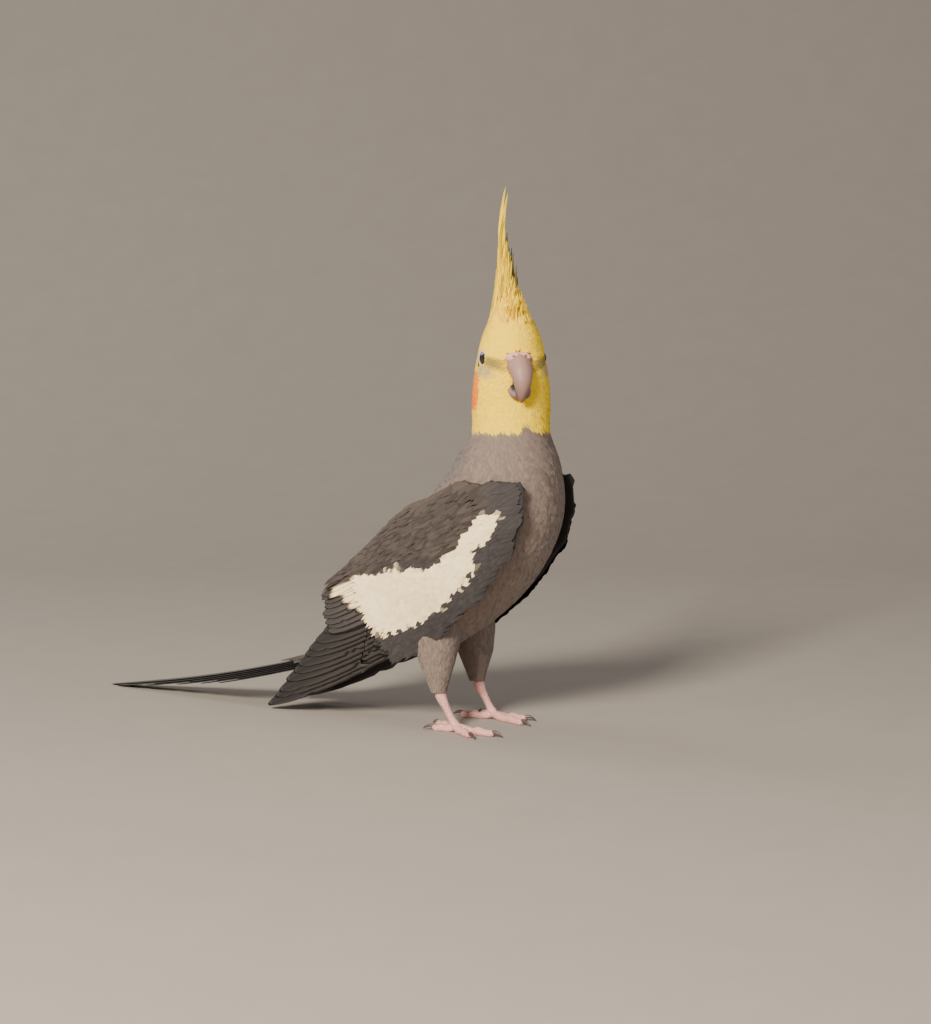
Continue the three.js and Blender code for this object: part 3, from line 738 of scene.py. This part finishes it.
class Vanes:
    """Gathers long feathers and makes one mesh of them."""

    def __init__(self, rows):
        self.t = np.linspace(0, 1, rows)[:, None]
        self.sheets = []

    def feather(self, place, width, outline, colour, length, thickness=0.34, ragged=0.05, groove=0.5):
        t = self.t * np.ones((1, 7))
        sides = LONG_SIDES
        wide = outline(self.t) * width / 2
        splits = 1 - ragged * rng.random((len(self.t), 1)) * (self.t > 0.2)
        deep = (rng.random((len(self.t), 1)) < SPLIT_SHARE) * SPLIT_DEPTH * (self.t > 0.35)
        side = sides * wide * (1 - (1 - splits + deep) * sides**6)
        run = np.clip(t - 0.07 * sides**2 * wide / 6 * (self.t > 0.5), 0, 1)
        arch = groove * (np.cos(sides * pi) * 0.5 - 0.1) * wide / 7
        rib = SHAFT_RISE * (np.abs(sides) < 0.01) * (1 - 0.6 * self.t)
        paint = np.clip(colour(run, sides + 0 * t), 0, 1)
        self.sheets.append((place(run, side, arch + rib), place(run, side, arch - thickness), paint,
                            np.stack([side, run * length], axis=-1)))

    def build(self, name, look, replaces=()):
        top, under, paint, vane = (np.stack(sheet) for sheet in zip(*self.sheets))
        grid = ceil(sqrt(len(top)))
        index = np.arange(len(top))
        corner = np.stack([index % grid, index // grid], axis=-1)[:, None, None, :] / grid
        wide = np.abs(vane[..., 0]).max()
        tall = vane[..., 1].max(axis=(1, 2), keepdims=True)
        inside = np.stack([vane[..., 0] / wide * 0.45 + 0.5, vane[..., 1] / tall * 0.92 + 0.04], axis=-1)
        vanes(name, top, under, paint, corner + inside / grid, vane, look, replaces)


# The cream patch lies between two edges along the wing
PATCH_FRONT = [[8, -10], [18.5, -13.7], [26, -14.1], [30, -20.2], [41, -22.3], [56, -24.3], [67, -22.8],
               [84, -17.4]]
PATCH_BACK = [[8, -9], [15, -3], [32, -5.3], [42.5, -10], [51, -8], [60.5, -0.3], [74, 4], [83, 8], [96, 12],
              [118, 19]]


def wing_colour(u, v, draw=0.0):
    """Slate wing with its cream patch; draw moves the patch's edge a little from feather to feather."""
    low, high = (np.interp(u, *np.array(edge, float).T) + draw for edge in (PATCH_FRONT, PATCH_BACK))
    inside = smooth(v, low - 0.4, low + 0.4) * smooth(-v, -high - 0.4, -high + 0.4)
    end = 85 + (v + 17) * 0.88
    inside = inside * smooth(u, 8, 10) * smooth(-u, -end - 1, -end + 1)
    return blend(blend(SLATE, GREY * 0.38, smooth(v, -2, 14)), CREAM, inside)


def flight_colour(base, draw):
    """Darker towards the tip, with a pale outer edge."""
    def colour(u, v, t, across):
        tone = base * (1.1 - 0.35 * smooth(t, 0.5, 1.0) + 0.06 * draw)[..., None]
        return blend(tone, PALE_EDGE, 0.35 * smooth(-across, 0.6, 0.98))
    return colour


def cover_colour(base, draw):
    """The wing's own marks, or one colour where base is given."""
    def colour(u, v, t, across):
        return wing_colour(u, v, 1.1 * draw) if base is None else base + 0 * t[..., None]
    return colour


# A vane's greatest tilt over the next one, thickness, raggedness and groove
FLIGHT_FORM = (0.3, 0.34, 0.05, 0.5)
COVER_FORM = (0.06, 0.09, 0.12, 0.1)


def wing_vane(gather, side, root, tip, wide, lifts, pitch, colour, steep, *form):
    u0, v0 = root
    length = hypot(tip[0] - u0, tip[1] - v0)
    cu, cv = (tip[0] - u0) / length, (tip[1] - v0) / length

    def spot_on(t, across):
        return u0 + cu * length * t - cv * across, v0 + cv * length * t + cu * across

    def place(t, across, lift):
        tilt = np.clip(0.9 / np.maximum(1.6, lerp(*pitch, t)), 0.06, steep)
        rise = lerp(*lifts, smooth(t, 0, 0.45))
        return on_wing(side, *spot_on(t, across), rise - tilt * across * smooth(t, 0, 0.3) + lift)

    def paint(t, across):
        return colour(*spot_on(t, across * leaf(t) * wide / 2), t, across)

    gather.feather(place, wide, leaf, paint, length, *form)


def wing(name, side):
    flight, covers = Vanes(34), Vanes(16)
    # Number, roots and tips (u, v) of the first and last, width, lift at root and tip, colour if it is plain
    tiers = (
        (flight, 10, [[64, -27], [66, -10]], [[WING_LENGTH, -8], [124, 3]], 14, (-3.4, -2.5), SLATE * 0.6),
        (flight, 9, [[62, -9], [58, 14]], [[121, 1], [117, 18]], 12, (-2.6, -1.1), SLATE * 1.35),
        (covers, 7, [[58, -29], [60, -20]], [[100, -24], [97, -14]], 7.5, (-1.6, 0.5), SLATE * 0.62),
        (covers, 18, [[46, -24], [50, 13]], [[84, -18], [114, 17]], 8, (-1.8, 0.3), None),
        (covers, 18, [[32, -25], [38, 13]], [[66, -25], [90, 14]], 7, (-1.2, 0.5), None),
    )
    for gather, n, root, tip, wide, lifts, base in tiers:
        pitch = (dist(*root) / (n - 1), abs(tip[1][1] - tip[0][1]) / (n - 1))
        for i in range(n):
            k = i / (n - 1)
            draw = draws()
            start, end = ([lerp(a, b, k) for a, b in zip(*ends)] for ends in (root, tip))
            end = (end[0] + (3.0 if base is None else 1.5) * draw, end[1] + 0.4 * draws())
            paint, form = (flight_colour, FLIGHT_FORM) if gather is flight else (cover_colour, COVER_FORM)
            wing_vane(gather, side, start, end, wide, lifts, pitch, paint(base, draw), *form)
    flight.build(f"flight_feathers_{name}", WING_COAT, (f"wing_{name}",))
    covers.build(f"wing_coverts_{name}", WING_COAT)
    wing_pad(name, side)
    small_wing_coat(name, side)


def wing_pad(name, side):
    rows, columns, first, end = 40, 28, -4, 88
    k, u = np.meshgrid(np.linspace(0, 1, columns), np.linspace(first, end, rows))
    v = lerp(along(WING_FRONT, u), along(WING_BACK, u), k)
    ends = (np.arange(rows)[:, None] + 2) / (rows + 3)
    full = np.sqrt(np.sin(pi * np.clip(k, 0.02, 0.98)) * np.sin(pi * ends))
    top, under = (on_wing(side, u, v, -1.3 + rise * full)[None] for rise in (1.1, -2.0))
    patch = np.stack([k, (u - first) / (end - first)], axis=-1)[None]
    vanes(f"wing_skin_{name}", top, under, (wing_colour(u, v) * 0.9)[None], patch, patch * 60, WING_COAT)


def wing_tufts(name, side, roots, length, slim, flow, colour, lift):
    u, v = roots.T
    draw = draws(len(u))
    root_uv = np.stack([(v + 34) / 60, (u + 4) / 100], axis=-1)
    lay(name, partial(on_wing, side), u, v, length, length * slim, flow, (-0.3, lift + 0.06 * draw),
        colour * (1 + 0.08 * draw)[:, None], 1.05, root_uv, WING_COAT)


def wing_rows(u_from, u_to, step, low_at, high_at, apart):
    roots = []
    for u in np.arange(u_from, u_to, step):
        low, high = low_at(u), high_at(u)
        count = max(3, int((high - low) / apart))
        v = low + (np.arange(count) + rng.uniform(0.1, 0.9, count)) / count * (high - low)
        roots.append(np.stack([u + rng.uniform(-0.4, 0.4, count) * step, v], axis=1))
    return np.concatenate(roots)


SCAPULAR_REACH = 17.0


def small_wing_coat(name, side):
    """Lesser coverts over the pad, and scapulars whose tips cross the patch."""
    roots = wing_rows(-2, 84, 1.7, lambda u: along(WING_FRONT, u) + 0.8,
                      lambda u: along(WING_BACK, u) - 0.4, 1.9)
    u, v = roots.T
    marks = wing_colour(u + 4, v, 1.2 * draws(len(u)))
    flow = 0.012 * (v + 8) + 0.1 * smooth(v, 6, 16)
    wing_tufts(f"lesser_coverts_{name}", side, roots, 7.5 + 0.07 * u, 0.5, flow, marks,
               0.22 + 0.004 * u + 0.55 * smooth(u, 26, 48))
    back = np.array(PATCH_BACK, float).T
    roots = wing_rows(6, 96, 2.6, lambda u: np.interp(u + SCAPULAR_REACH, *back) + 0.5,
                      lambda u: along(WING_BACK, u) + 0.5, 2.1)
    draw = draws(len(roots))
    length = SCAPULAR_REACH + 5.5 * draws(len(roots))
    wing_tufts(f"scapulars_{name}", side, roots, length, 0.24, 0.05 + 0.08 * draw,
               SCAPULAR * (1 + 0.3 * draw)[:, None], 0.85 + 0.5 * smooth(roots[:, 0], 25, 50))


# How much shorter each tail pair is than the middle one, where the vanes start, the tiers of coverts (number,
# run, height, width) and the root's rings (run, half width, half depth)
TAIL_STEPS = [0, 5, 24, 44, 60, 72]
TAIL_START = 14
TAIL_COVERTS = ((9, 46, 3.6, 7.5), (7, 40, -4.6, 7))
TAIL_ROOT = ((0.5, 8.2, 6.2), (10, 8.0, 4.8), (22, 7.2, 3.4), (34, 6.0, 1.8))


def tail():
    long, covers = Vanes(40), Vanes(16)
    for i, short in enumerate(TAIL_STEPS):
        for side in (-1, 1):
            length = TAIL_LENGTH - short - TAIL_START
            level = 0.5 - i * 0.85 - (0.42 if side > 0 else 0)

            def place(t, across, lift):
                x = side * lerp(0.8 + i * 0.5, 0.9 + i * 1.35, t) + across
                return on_tail(x, TAIL_START + length * t, level * smooth(t, 0, 0.25) + lift)

            def colour(t, across):
                sheen = smooth(-np.abs(across), -0.9, -0.1) * smooth(-t, -0.6, 0)
                return blend(BLACK, BLACK * 2.6, 0.6 * sheen)

            long.feather(place, 10 if i else 9.5, lambda t: leaf(t, 0.1), colour, length, thickness=0.3)
    for count, run, level, wide in TAIL_COVERTS:
        for i in range(count):
            k = i / (count - 1) - 0.5
            draw = draws()

            def place(t, across, lift):
                reach = 2 + (run - abs(k) * 20 + 3 * draw) * t
                height = lerp(level, level * 0.5, t) + lift - abs(k) * 2.4
                return on_tail(k * lerp(12, 11, t) + across, reach, height)

            def colour(t, across):
                return blend(GREY * 0.62, BLACK * 2, smooth(t, 0.4, 1) * 0.8) * (1 + 0.1 * draw)

            covers.feather(place, wide, pointed, colour, run)
    long.build("tail_feathers", TAIL_COAT, ("tail",))
    covers.build("tail_coverts", GREY_COAT)
    a = circle(32)
    rings = [on_tail(np.sin(a) * wide, run + 0 * a, np.cos(a) * deep) for run, wide, deep in TAIL_ROOT]
    tube_object("tail_root", np.stack(rings), lambda run: blend(GREY * 0.4, GREY, 0 * run), 20, GREY_COAT)


# Crest rows: place across the crown, number of feathers, shortest and longest
CREST = ((0, 16, 20, 42), (0.2, 2, 57, 60), (-1.4, 2, 48, 52), (-1.7, 14, 20, 40), (1.7, 14, 20, 42),
         (-3.4, 14, 20, 36), (3.4, 14, 20, 40), (-5.2, 13, 19, 32), (5.2, 13, 19, 36), (-7, 11, 17, 28),
         (7, 11, 17, 30), (-8.4, 9, 14, 22), (8.4, 9, 14, 22))
PLUME = 45  # rows whose shortest feather is longer are plumes
CREST_THICK = 0.12


def crest():
    gather = Vanes(18)
    for x0, count, least, most in CREST:
        for i in range(count):
            plume = least > PLUME
            back = 0.6 + 0.12 * i if plume else (i + 0.2) / count
            one, two, three = draws(3)
            length = lerp(least, most, min(1, back * 1.2) ** 1.5) * (1 + 0.06 * one)
            f0 = lerp(7.4, -5.4, back) - abs(x0) * 0.25
            h0 = lerp(170, 178.5, min(1, back * 1.6)) - abs(x0) * 0.6
            lean = radians(lerp(2, 30, back) + 2.5 * two)
            bend = radians(52 if plume else 34 + 6 * three)
            inward = -x0 * (0.52 if abs(x0) > 4 else 0.66) + 0.6 * one - (3.0 if plume else 0.03 * length)
            twist = copysign(radians(28), x0) if x0 else radians(45) * (1 if i % 2 else -1)
            twist += 0.3 * two

            def place(t, side, lift):
                angle = lean - bend * (t**2 if plume else t) * 0.5
                x = x0 + inward * smooth(t, 0, 0.8) + cos(twist) * side - sin(twist) * lift
                f = f0 - np.sin(angle) * length * t + sin(twist) * side + cos(twist) * lift
                return in_head(x, f, h0 + np.cos(angle) * length * t)

            def colour(t, across):
                # Grey-olive streaks on the rear crest feathers are their own marks; the far rows (x0 > 0) get
                # more grey and the near rows less, which is painted shade on the side away from the key lamp.
                streak_and_shade = 0.5 + 0.45 * one + (0.4 if x0 > 0 else -0.3)
                grey = smooth(back, 0.15, 0.6) * smooth(t, 0.1, 0.4) * streak_and_shade * (length < 44)
                return blend(YELLOW * [0.97, 1.04, 1.1], OLIVE * 0.9, np.clip(grey, 0, 1) + 0 * across)

            gather.feather(place, min(3.6, 2.2 + length * 0.03), pointed, colour, length, CREST_THICK, 0.25)
    brow(gather)
    gather.build("crest_feathers", YELLOW_COAT, ("crest",))


def brow(gather):
    """Feathers that rise over forehead and crown into the crest."""
    for h0 in (170, 172.5, 175, 177.5, 180):
        half, front, back = (np.interp(h0, TRUNK[:, 1], TRUNK[:, k]) for k in (2, 3, 4))
        for i in range(21):
            draw, streak = draws(2)
            turn = lerp(-2.2, 2.2, (i + 0.4 * draw) / 20)
            sx, sf = sin(turn), cos(turn)
            x0, f0 = sx * (half - 0.1), 0.3 + sf * ((front if sf > 0 else back) - 0.1)
            length = 15 + 2.5 * draw

            def place(t, side, lift):
                out = lift - 0.5 * length * t * (1 - 0.25 * t)
                return in_head(x0 + sx * out + sf * side, f0 + sf * out - sx * side, h0 + 0.92 * length * t)

            def colour(t, across):
                return blend(YELLOW, OLIVE, 0.35 * max(0, streak) * smooth(t, 0.2, 0.5) + 0 * across)

            gather.feather(place, 2.6, pointed, colour, length, CREST_THICK, 0.25, 0.1)


# Bill, cere, eyes and lids; the bill's rows are f, h, half width and half height

UPPER_BILL = [
    [11, 160.5, 5.4, 4.5], [14, 161.0, 5.4, 4.5], [16.6, 160.8, 5.35, 4.3], [19.6, 158.6, 4.95, 3.6],
    [21.4, 155, 4.15, 2.8], [21.8, 151.4, 3.05, 2.0], [21, 148, 1.75, 1.2], [19.8, 145.8, 0.45, 0.4],
]
LOWER_BILL = [
    [11.5, 152.2, 5.15, 3.3], [15.4, 150.8, 5.15, 3.1], [17.9, 149.0, 4.5, 2.5], [19.5, 148.2, 3.1, 1.3],
]
BILL_KEEL = 0.22
BILL_TIP = rgb(0.62, 0.58, 0.6)
# Share of the bill's colour left in the painted shade along the lower bill's upper side, in the gap under the
# upper bill
GAPE_SHADE = 0.07
CERE_F, CERE_H, CERE_WIDE, CERE_DEEP, CERE_TALL = 14.2, 164.6, 6.1, 4.1, 2.7
NOSTRIL_X, NOSTRIL_H = 2.6, 165.3
# Painted shade in the nostril openings
NOSTRIL_SHADE = rgb(0.22, 0.1, 0.09)


def bill_half(name, line, keel, node):
    rows, sides = 48, 48
    path = spline(line, rows)
    tangent = unit(np.gradient(path[:, :2], axis=0))
    a = circle(sides)
    out = np.cos(a) * (1 + keel * np.maximum(np.cos(a), 0) ** 6) * path[:, 3:4]
    x = np.sign(np.sin(a)) * np.abs(np.sin(a)) ** 0.85 * path[:, 2:3]
    rings = in_head(x, path[:, :1] - tangent[:, 1:] * out, path[:, 1:2] + tangent[:, :1] * out)

    def paint(run):
        colour = blend(WHITE, BILL_TIP, smooth(run, 0.45, 1.0))
        # The lower bill (no keel) is darkened along its upper side: painted shade in the gap between the two
        # halves.
        return colour if keel else blend(colour, colour * GAPE_SHADE, smooth(np.cos(a), 0.5, 0.75) + 0 * run)

    tube_object(name, rings, paint, 20, BILL_HORN, (node,))


def cere():
    rings, holes = [], []
    a = circle(56)
    for polar in np.linspace(0.03, 0.97, 26) * pi:
        x = CERE_WIDE * np.sin(a) * sin(polar)
        depth = 0 * x
        pinch = 1 - 0.18 * np.exp(-(x / 1.1) ** 2)
        f = CERE_F + CERE_DEEP * cos(polar) * pinch - 0.024 * x**2
        h = CERE_H + CERE_TALL * np.cos(a) * sin(polar) * pinch
        for side in (-1, 1):
            aside, above = x - side * NOSTRIL_X, h - NOSTRIL_H
            hole = np.exp(-((aside / 0.85) ** 2) - (above / 0.62) ** 2)
            rim = np.exp(-((aside / 1.7) ** 2) - (above / 1.4) ** 2)
            f = f + (0.9 * rim - 2.2 * hole) * max(0, cos(polar))
            depth = np.maximum(depth, hole * (cos(polar) > 0))
        rings.append(in_head(x, f, h))
        holes.append(depth)
    holes = np.pad(np.stack(holes), ((2, 2), (0, 0)), mode="edge")
    # The nostril dents are painted dark, as shade in the openings.
    colour = blend(WHITE, NOSTRIL_SHADE, smooth(holes, 0.25, 0.8))
    tube_object("cere_skin", np.stack(rings), lambda run: colour, 1, CERE_SKIN, ("cere",))


# The lid's folds from the ball outwards: distance from the line of sight, and out along it
LID_PROFILE = ((2.7, 2.1), (2.75, 2.5), (2.95, 2.62), (3.2, 2.6), (3.5, 2.45), (3.8, 2.55), (4.2, 2.4),
               (4.7, 2.0), (4.5, 1.0), (3.2, 1.2), (2.8, 1.8))


def eyes():
    for name, side in SIDES:
        look = in_head(side * sin(EYE_ANGLE), cos(EYE_ANGLE), 0) - in_head(0, 0, 0)
        up = np.array([0, 0, 1.0])
        a = circle(48)
        ring = np.cos(a)[:, None] * np.cross(look, up) + np.sin(a)[:, None] * up
        centre = eye_place(side)
        ball = [centre + EYE_RADIUS * (cos(p) * look + sin(p) * ring)
                for p in np.linspace(0.03, pi - 0.03, 30)]
        tube_object(f"eyeball_{name}", np.stack(ball), None, 1, EYE_GLOSS, (f"eye_{name}",))
        lids(name, look, ring, a, centre)


def lids(name, look, ring, a, centre):
    """A bare ring of skin whose folds close round the ball."""
    wave = 0.05 * np.cos(a * 24)[:, None] + 0.04 * np.cos(a * 41 + 1)[:, None]
    oval = 1 + 0.02 * np.cos(2 * a)[:, None]
    rings = [centre + look * (d + wave * (0.5 if r > 2.6 else 0)) + ring * (r * oval) for r, d in LID_PROFILE]
    ids = np.arange(len(rings) * len(a)).reshape(len(rings), len(a))
    ids = np.concatenate([ids, ids[:1]])
    around = np.roll(ids, -1, axis=1)
    quads = np.stack([ids[:-1], ids[1:], around[1:], around[:-1]], axis=-1)
    unwrap = flat_uv(len(rings) + 1, len(a))[:-1]
    lid = make_object(f"eye_ring_{name}", np.stack(rings), quads, None, unwrap, None, RING_SKIN)
    smoother = lid.modifiers.new("round", "SUBSURF")
    smoother.levels = smoother.render_levels = 1


# Feet: shank and four toes in one skin with raised scutes, and a claw on each toe.
# Toes: heading in degrees, length, radius. Shank: f, h, radius. A toe's rows: share of length, height, share
# of radius. A claw's rows: run past the toe's end, height, share of radius.

TOES = ((-8, 19, 2.0), (24, 14.5, 1.9), (158, 10, 1.8), (198, 15, 1.9))
SHANK = [[-8.8, 20, 1.8], [-7.6, 15.5, 2.4], [-4.6, 10, 1.65], [-2, 5.5, 1.65], [-0.3, 3.2, 2.1]]
TOE_SHAPE = [[-0.05, 1.6, 0.8], [0.25, 0.2, 1], [0.5, 0, 0.82], [0.62, 0.1, 1.04], [0.82, 0, 0.84],
             [1, 0.1, 0.8], [1.06, 0.3, 0.4]]
CLAW_SHAPE = [[-0.6, 1.55, 0.9], [0.8, 2.0, 0.95], [2.2, 2.15, 0.78], [3.8, 1.7, 0.52], [5.0, 0.95, 0.26],
              [5.5, 0.5, 0.06]]
SCUTE_PITCH = 1.25
SOLE_FLOOR = 0.03
CLAW_ROOT, CLAW_TIP = rgb(1.6, 1.35, 1.25), rgb(0.8, 0.8, 0.8)


def limb_rings(path, radius, sides, scute):
    """Rings round a path in model axes; scute raises bands over the upper side."""
    tangent = unit(np.gradient(path, axis=0))
    guide = np.where(np.abs(tangent[:, 2:]) > 0.8, [[0, -1.0, 0]], [[0, 0, 1.0]])
    side = unit(np.cross(tangent, guide))
    up = np.cross(side, tangent)
    a = circle(sides)
    run = np.concatenate([[0], np.cumsum(norm(np.diff(path, axis=0), axis=1))])
    band = np.abs(np.sin(run * pi / SCUTE_PITCH))[:, None] ** 0.5 - 0.7
    upper = 0.5 + 0.5 * np.sin(a)
    r = radius[:, None] + scute * band * upper + 0.07 * np.cos(5 * a) * (1 - upper)
    rings = path[:, None]
    for way, share in ((side, np.cos(a)), (up, np.sin(a))):
        rings = rings + way[:, None] * (share * r)[..., None]
    rings[..., 2] = np.maximum(rings[..., 2], SOLE_FLOOR)
    return rings


def toe_line(side, heading, run, h):
    a = radians(side * heading - TOE_TURN)
    return at(side * FOOT_SPREAD + sin(a) * run, cos(a) * run, h)


def claw_colour(run):
    return blend(CLAW_ROOT, CLAW_TIP, smooth(run, 0.1, 0.7))


def feet():
    for name, side in SIDES:
        shank = spline(SHANK, 60)
        path = at(side * FOOT_SPREAD, shank[:, 0], shank[:, 1])
        rings = [limb_rings(path, shank[:, 2], 24, 0.12)]
        for heading, length, r in TOES:
            t, lift, scale = spline(TOE_SHAPE, 56).T
            line = toe_line(side, heading, length * t, r * scale * 0.72 + lift)
            rings.append(limb_rings(line, r * scale, 24, 0.14))
        foot = make_object(f"foot_skin_{name}", *tubes(rings), None, None, None, FOOT_SKIN, (f"foot_{name}",))
        one_skin(foot, 0.22, 2)
        for i, (heading, length, r) in enumerate(TOES):
            run, h, share = spline(CLAW_SHAPE, 26).T
            rings = limb_rings(toe_line(side, heading, length + run, h), share * r / 2, 20, 0.0)
            claw = f"{name}_{i + 1}"
            tube_object(f"claw_horn_{claw}", rings, claw_colour, 1, CLAW_HORN, (f"claw_{claw}",))


# Camera, floor and light

FRAME_WIDTH, FRAME_HEIGHT = 931, 1024
SENSOR = 36
PIXELS_PER_MM = 2.3
EYE_LINE_PX = 358
HEAD_AXIS_PX = 511
VIEW_TURN = radians(60)
VIEW_DROP = radians(6)
VIEW_DISTANCE = 1000
VIEW_RIGHT = np.array([cos(VIEW_TURN), -sin(VIEW_TURN), 0])
VIEW_AWAY = np.array([sin(VIEW_TURN), cos(VIEW_TURN), 0])


def camera():
    towards = -VIEW_AWAY * cos(VIEW_DROP) + np.array([0, 0, sin(VIEW_DROP)])
    up = np.cross(VIEW_RIGHT, -towards)
    aim = at(0.0, NECK_F, EYE_H) + VIEW_RIGHT * (FRAME_WIDTH / 2 - HEAD_AXIS_PX) / PIXELS_PER_MM
    aim = aim - up * (FRAME_HEIGHT / 2 - EYE_LINE_PX) / PIXELS_PER_MM
    data = bpy.data.cameras.new("camera")
    data.lens = SENSOR * VIEW_DISTANCE * PIXELS_PER_MM / FRAME_HEIGHT
    data.clip_start = 0.05
    cam = linked("camera", data)
    cam.location = Vector((aim + towards * VIEW_DISTANCE + SHIFT) * MM)
    cam.rotation_euler = Vector(-towards).to_track_quat("-Z", "Y").to_euler()
    bpy.context.scene.camera = cam


LAMP_TARGET = Vector((0, -0.05, 0.1))
LAMPS = (  # name, place, size, power, colour
    ("key", (-1.25, -0.2, 0.8), 0.35, 48, (1.0, 0.9, 0.76)),
    ("fill", (0.2, -1.4, 0.6), 1.0, 4, (0.95, 0.96, 1.0)),
    ("rim", (0.1, 1.2, 1.1), 0.6, 6, (1.0, 0.96, 0.92)),
)
SHEET_FROM, SHEET_TO, SHEET_BEND, SHEET_TOP, SHEET_WIDE = -3.0, 0.5, 1.0, 4.0, 4.0  # metres


def studio():
    """A floor that curves up into the backdrop, the air's light and three lamps."""
    curve = [(SHEET_FROM, 0)]
    for a in np.linspace(0, pi / 2, 24):
        curve.append((SHEET_TO + SHEET_BEND * sin(a), SHEET_BEND * (1 - cos(a))))
    curve.append((SHEET_TO + SHEET_BEND, SHEET_TOP))
    sheet = [VIEW_AWAY * away + VIEW_RIGHT * aside + np.array([0, 0, z]) for away, z in curve
             for aside in (-SHEET_WIDE, SHEET_WIDE)]
    faces = [(2 * i, 2 * i + 1, 2 * i + 3, 2 * i + 2) for i in range(len(curve) - 1)]
    mesh = bpy.data.meshes.new("studio_floor")
    mesh.from_pydata([tuple(q) for q in sheet], [], faces)
    shade_smooth(mesh)
    sh = Shader("floor_pale")
    sh.set(Base_Color=sh.mix(sh.noise(40, 4), (0.28, 0.25, 0.225), (0.31, 0.28, 0.25)), Roughness=0.8)
    mesh.materials.append(sh.material)
    linked("studio_floor", mesh)
    world = bpy.data.worlds.new("studio_air")
    world.use_nodes = True
    air = world.node_tree.nodes["Background"].inputs
    air[0].default_value = (0.75, 0.72, 0.7, 1)
    air[1].default_value = 0.45
    bpy.context.scene.world = world
    for name, place, size, power, colour in LAMPS:
        data = bpy.data.lights.new(name, "AREA")
        data.size, data.energy, data.color = size, power, colour
        lamp = linked(name, data)
        lamp.location = Vector(place)
        lamp.rotation_euler = (LAMP_TARGET - Vector(place)).to_track_quat("-Z", "Y").to_euler()


body_skin()
trunk_coat()
thigh_coats()
for wing_name, wing_side in SIDES:
    wing(wing_name, wing_side)
tail()
crest()
bill_half("bill_upper_horn", UPPER_BILL, BILL_KEEL, "bill_upper")
bill_half("bill_lower_horn", LOWER_BILL, 0.0, "bill_lower")
cere()
eyes()
feet()
studio()
camera()
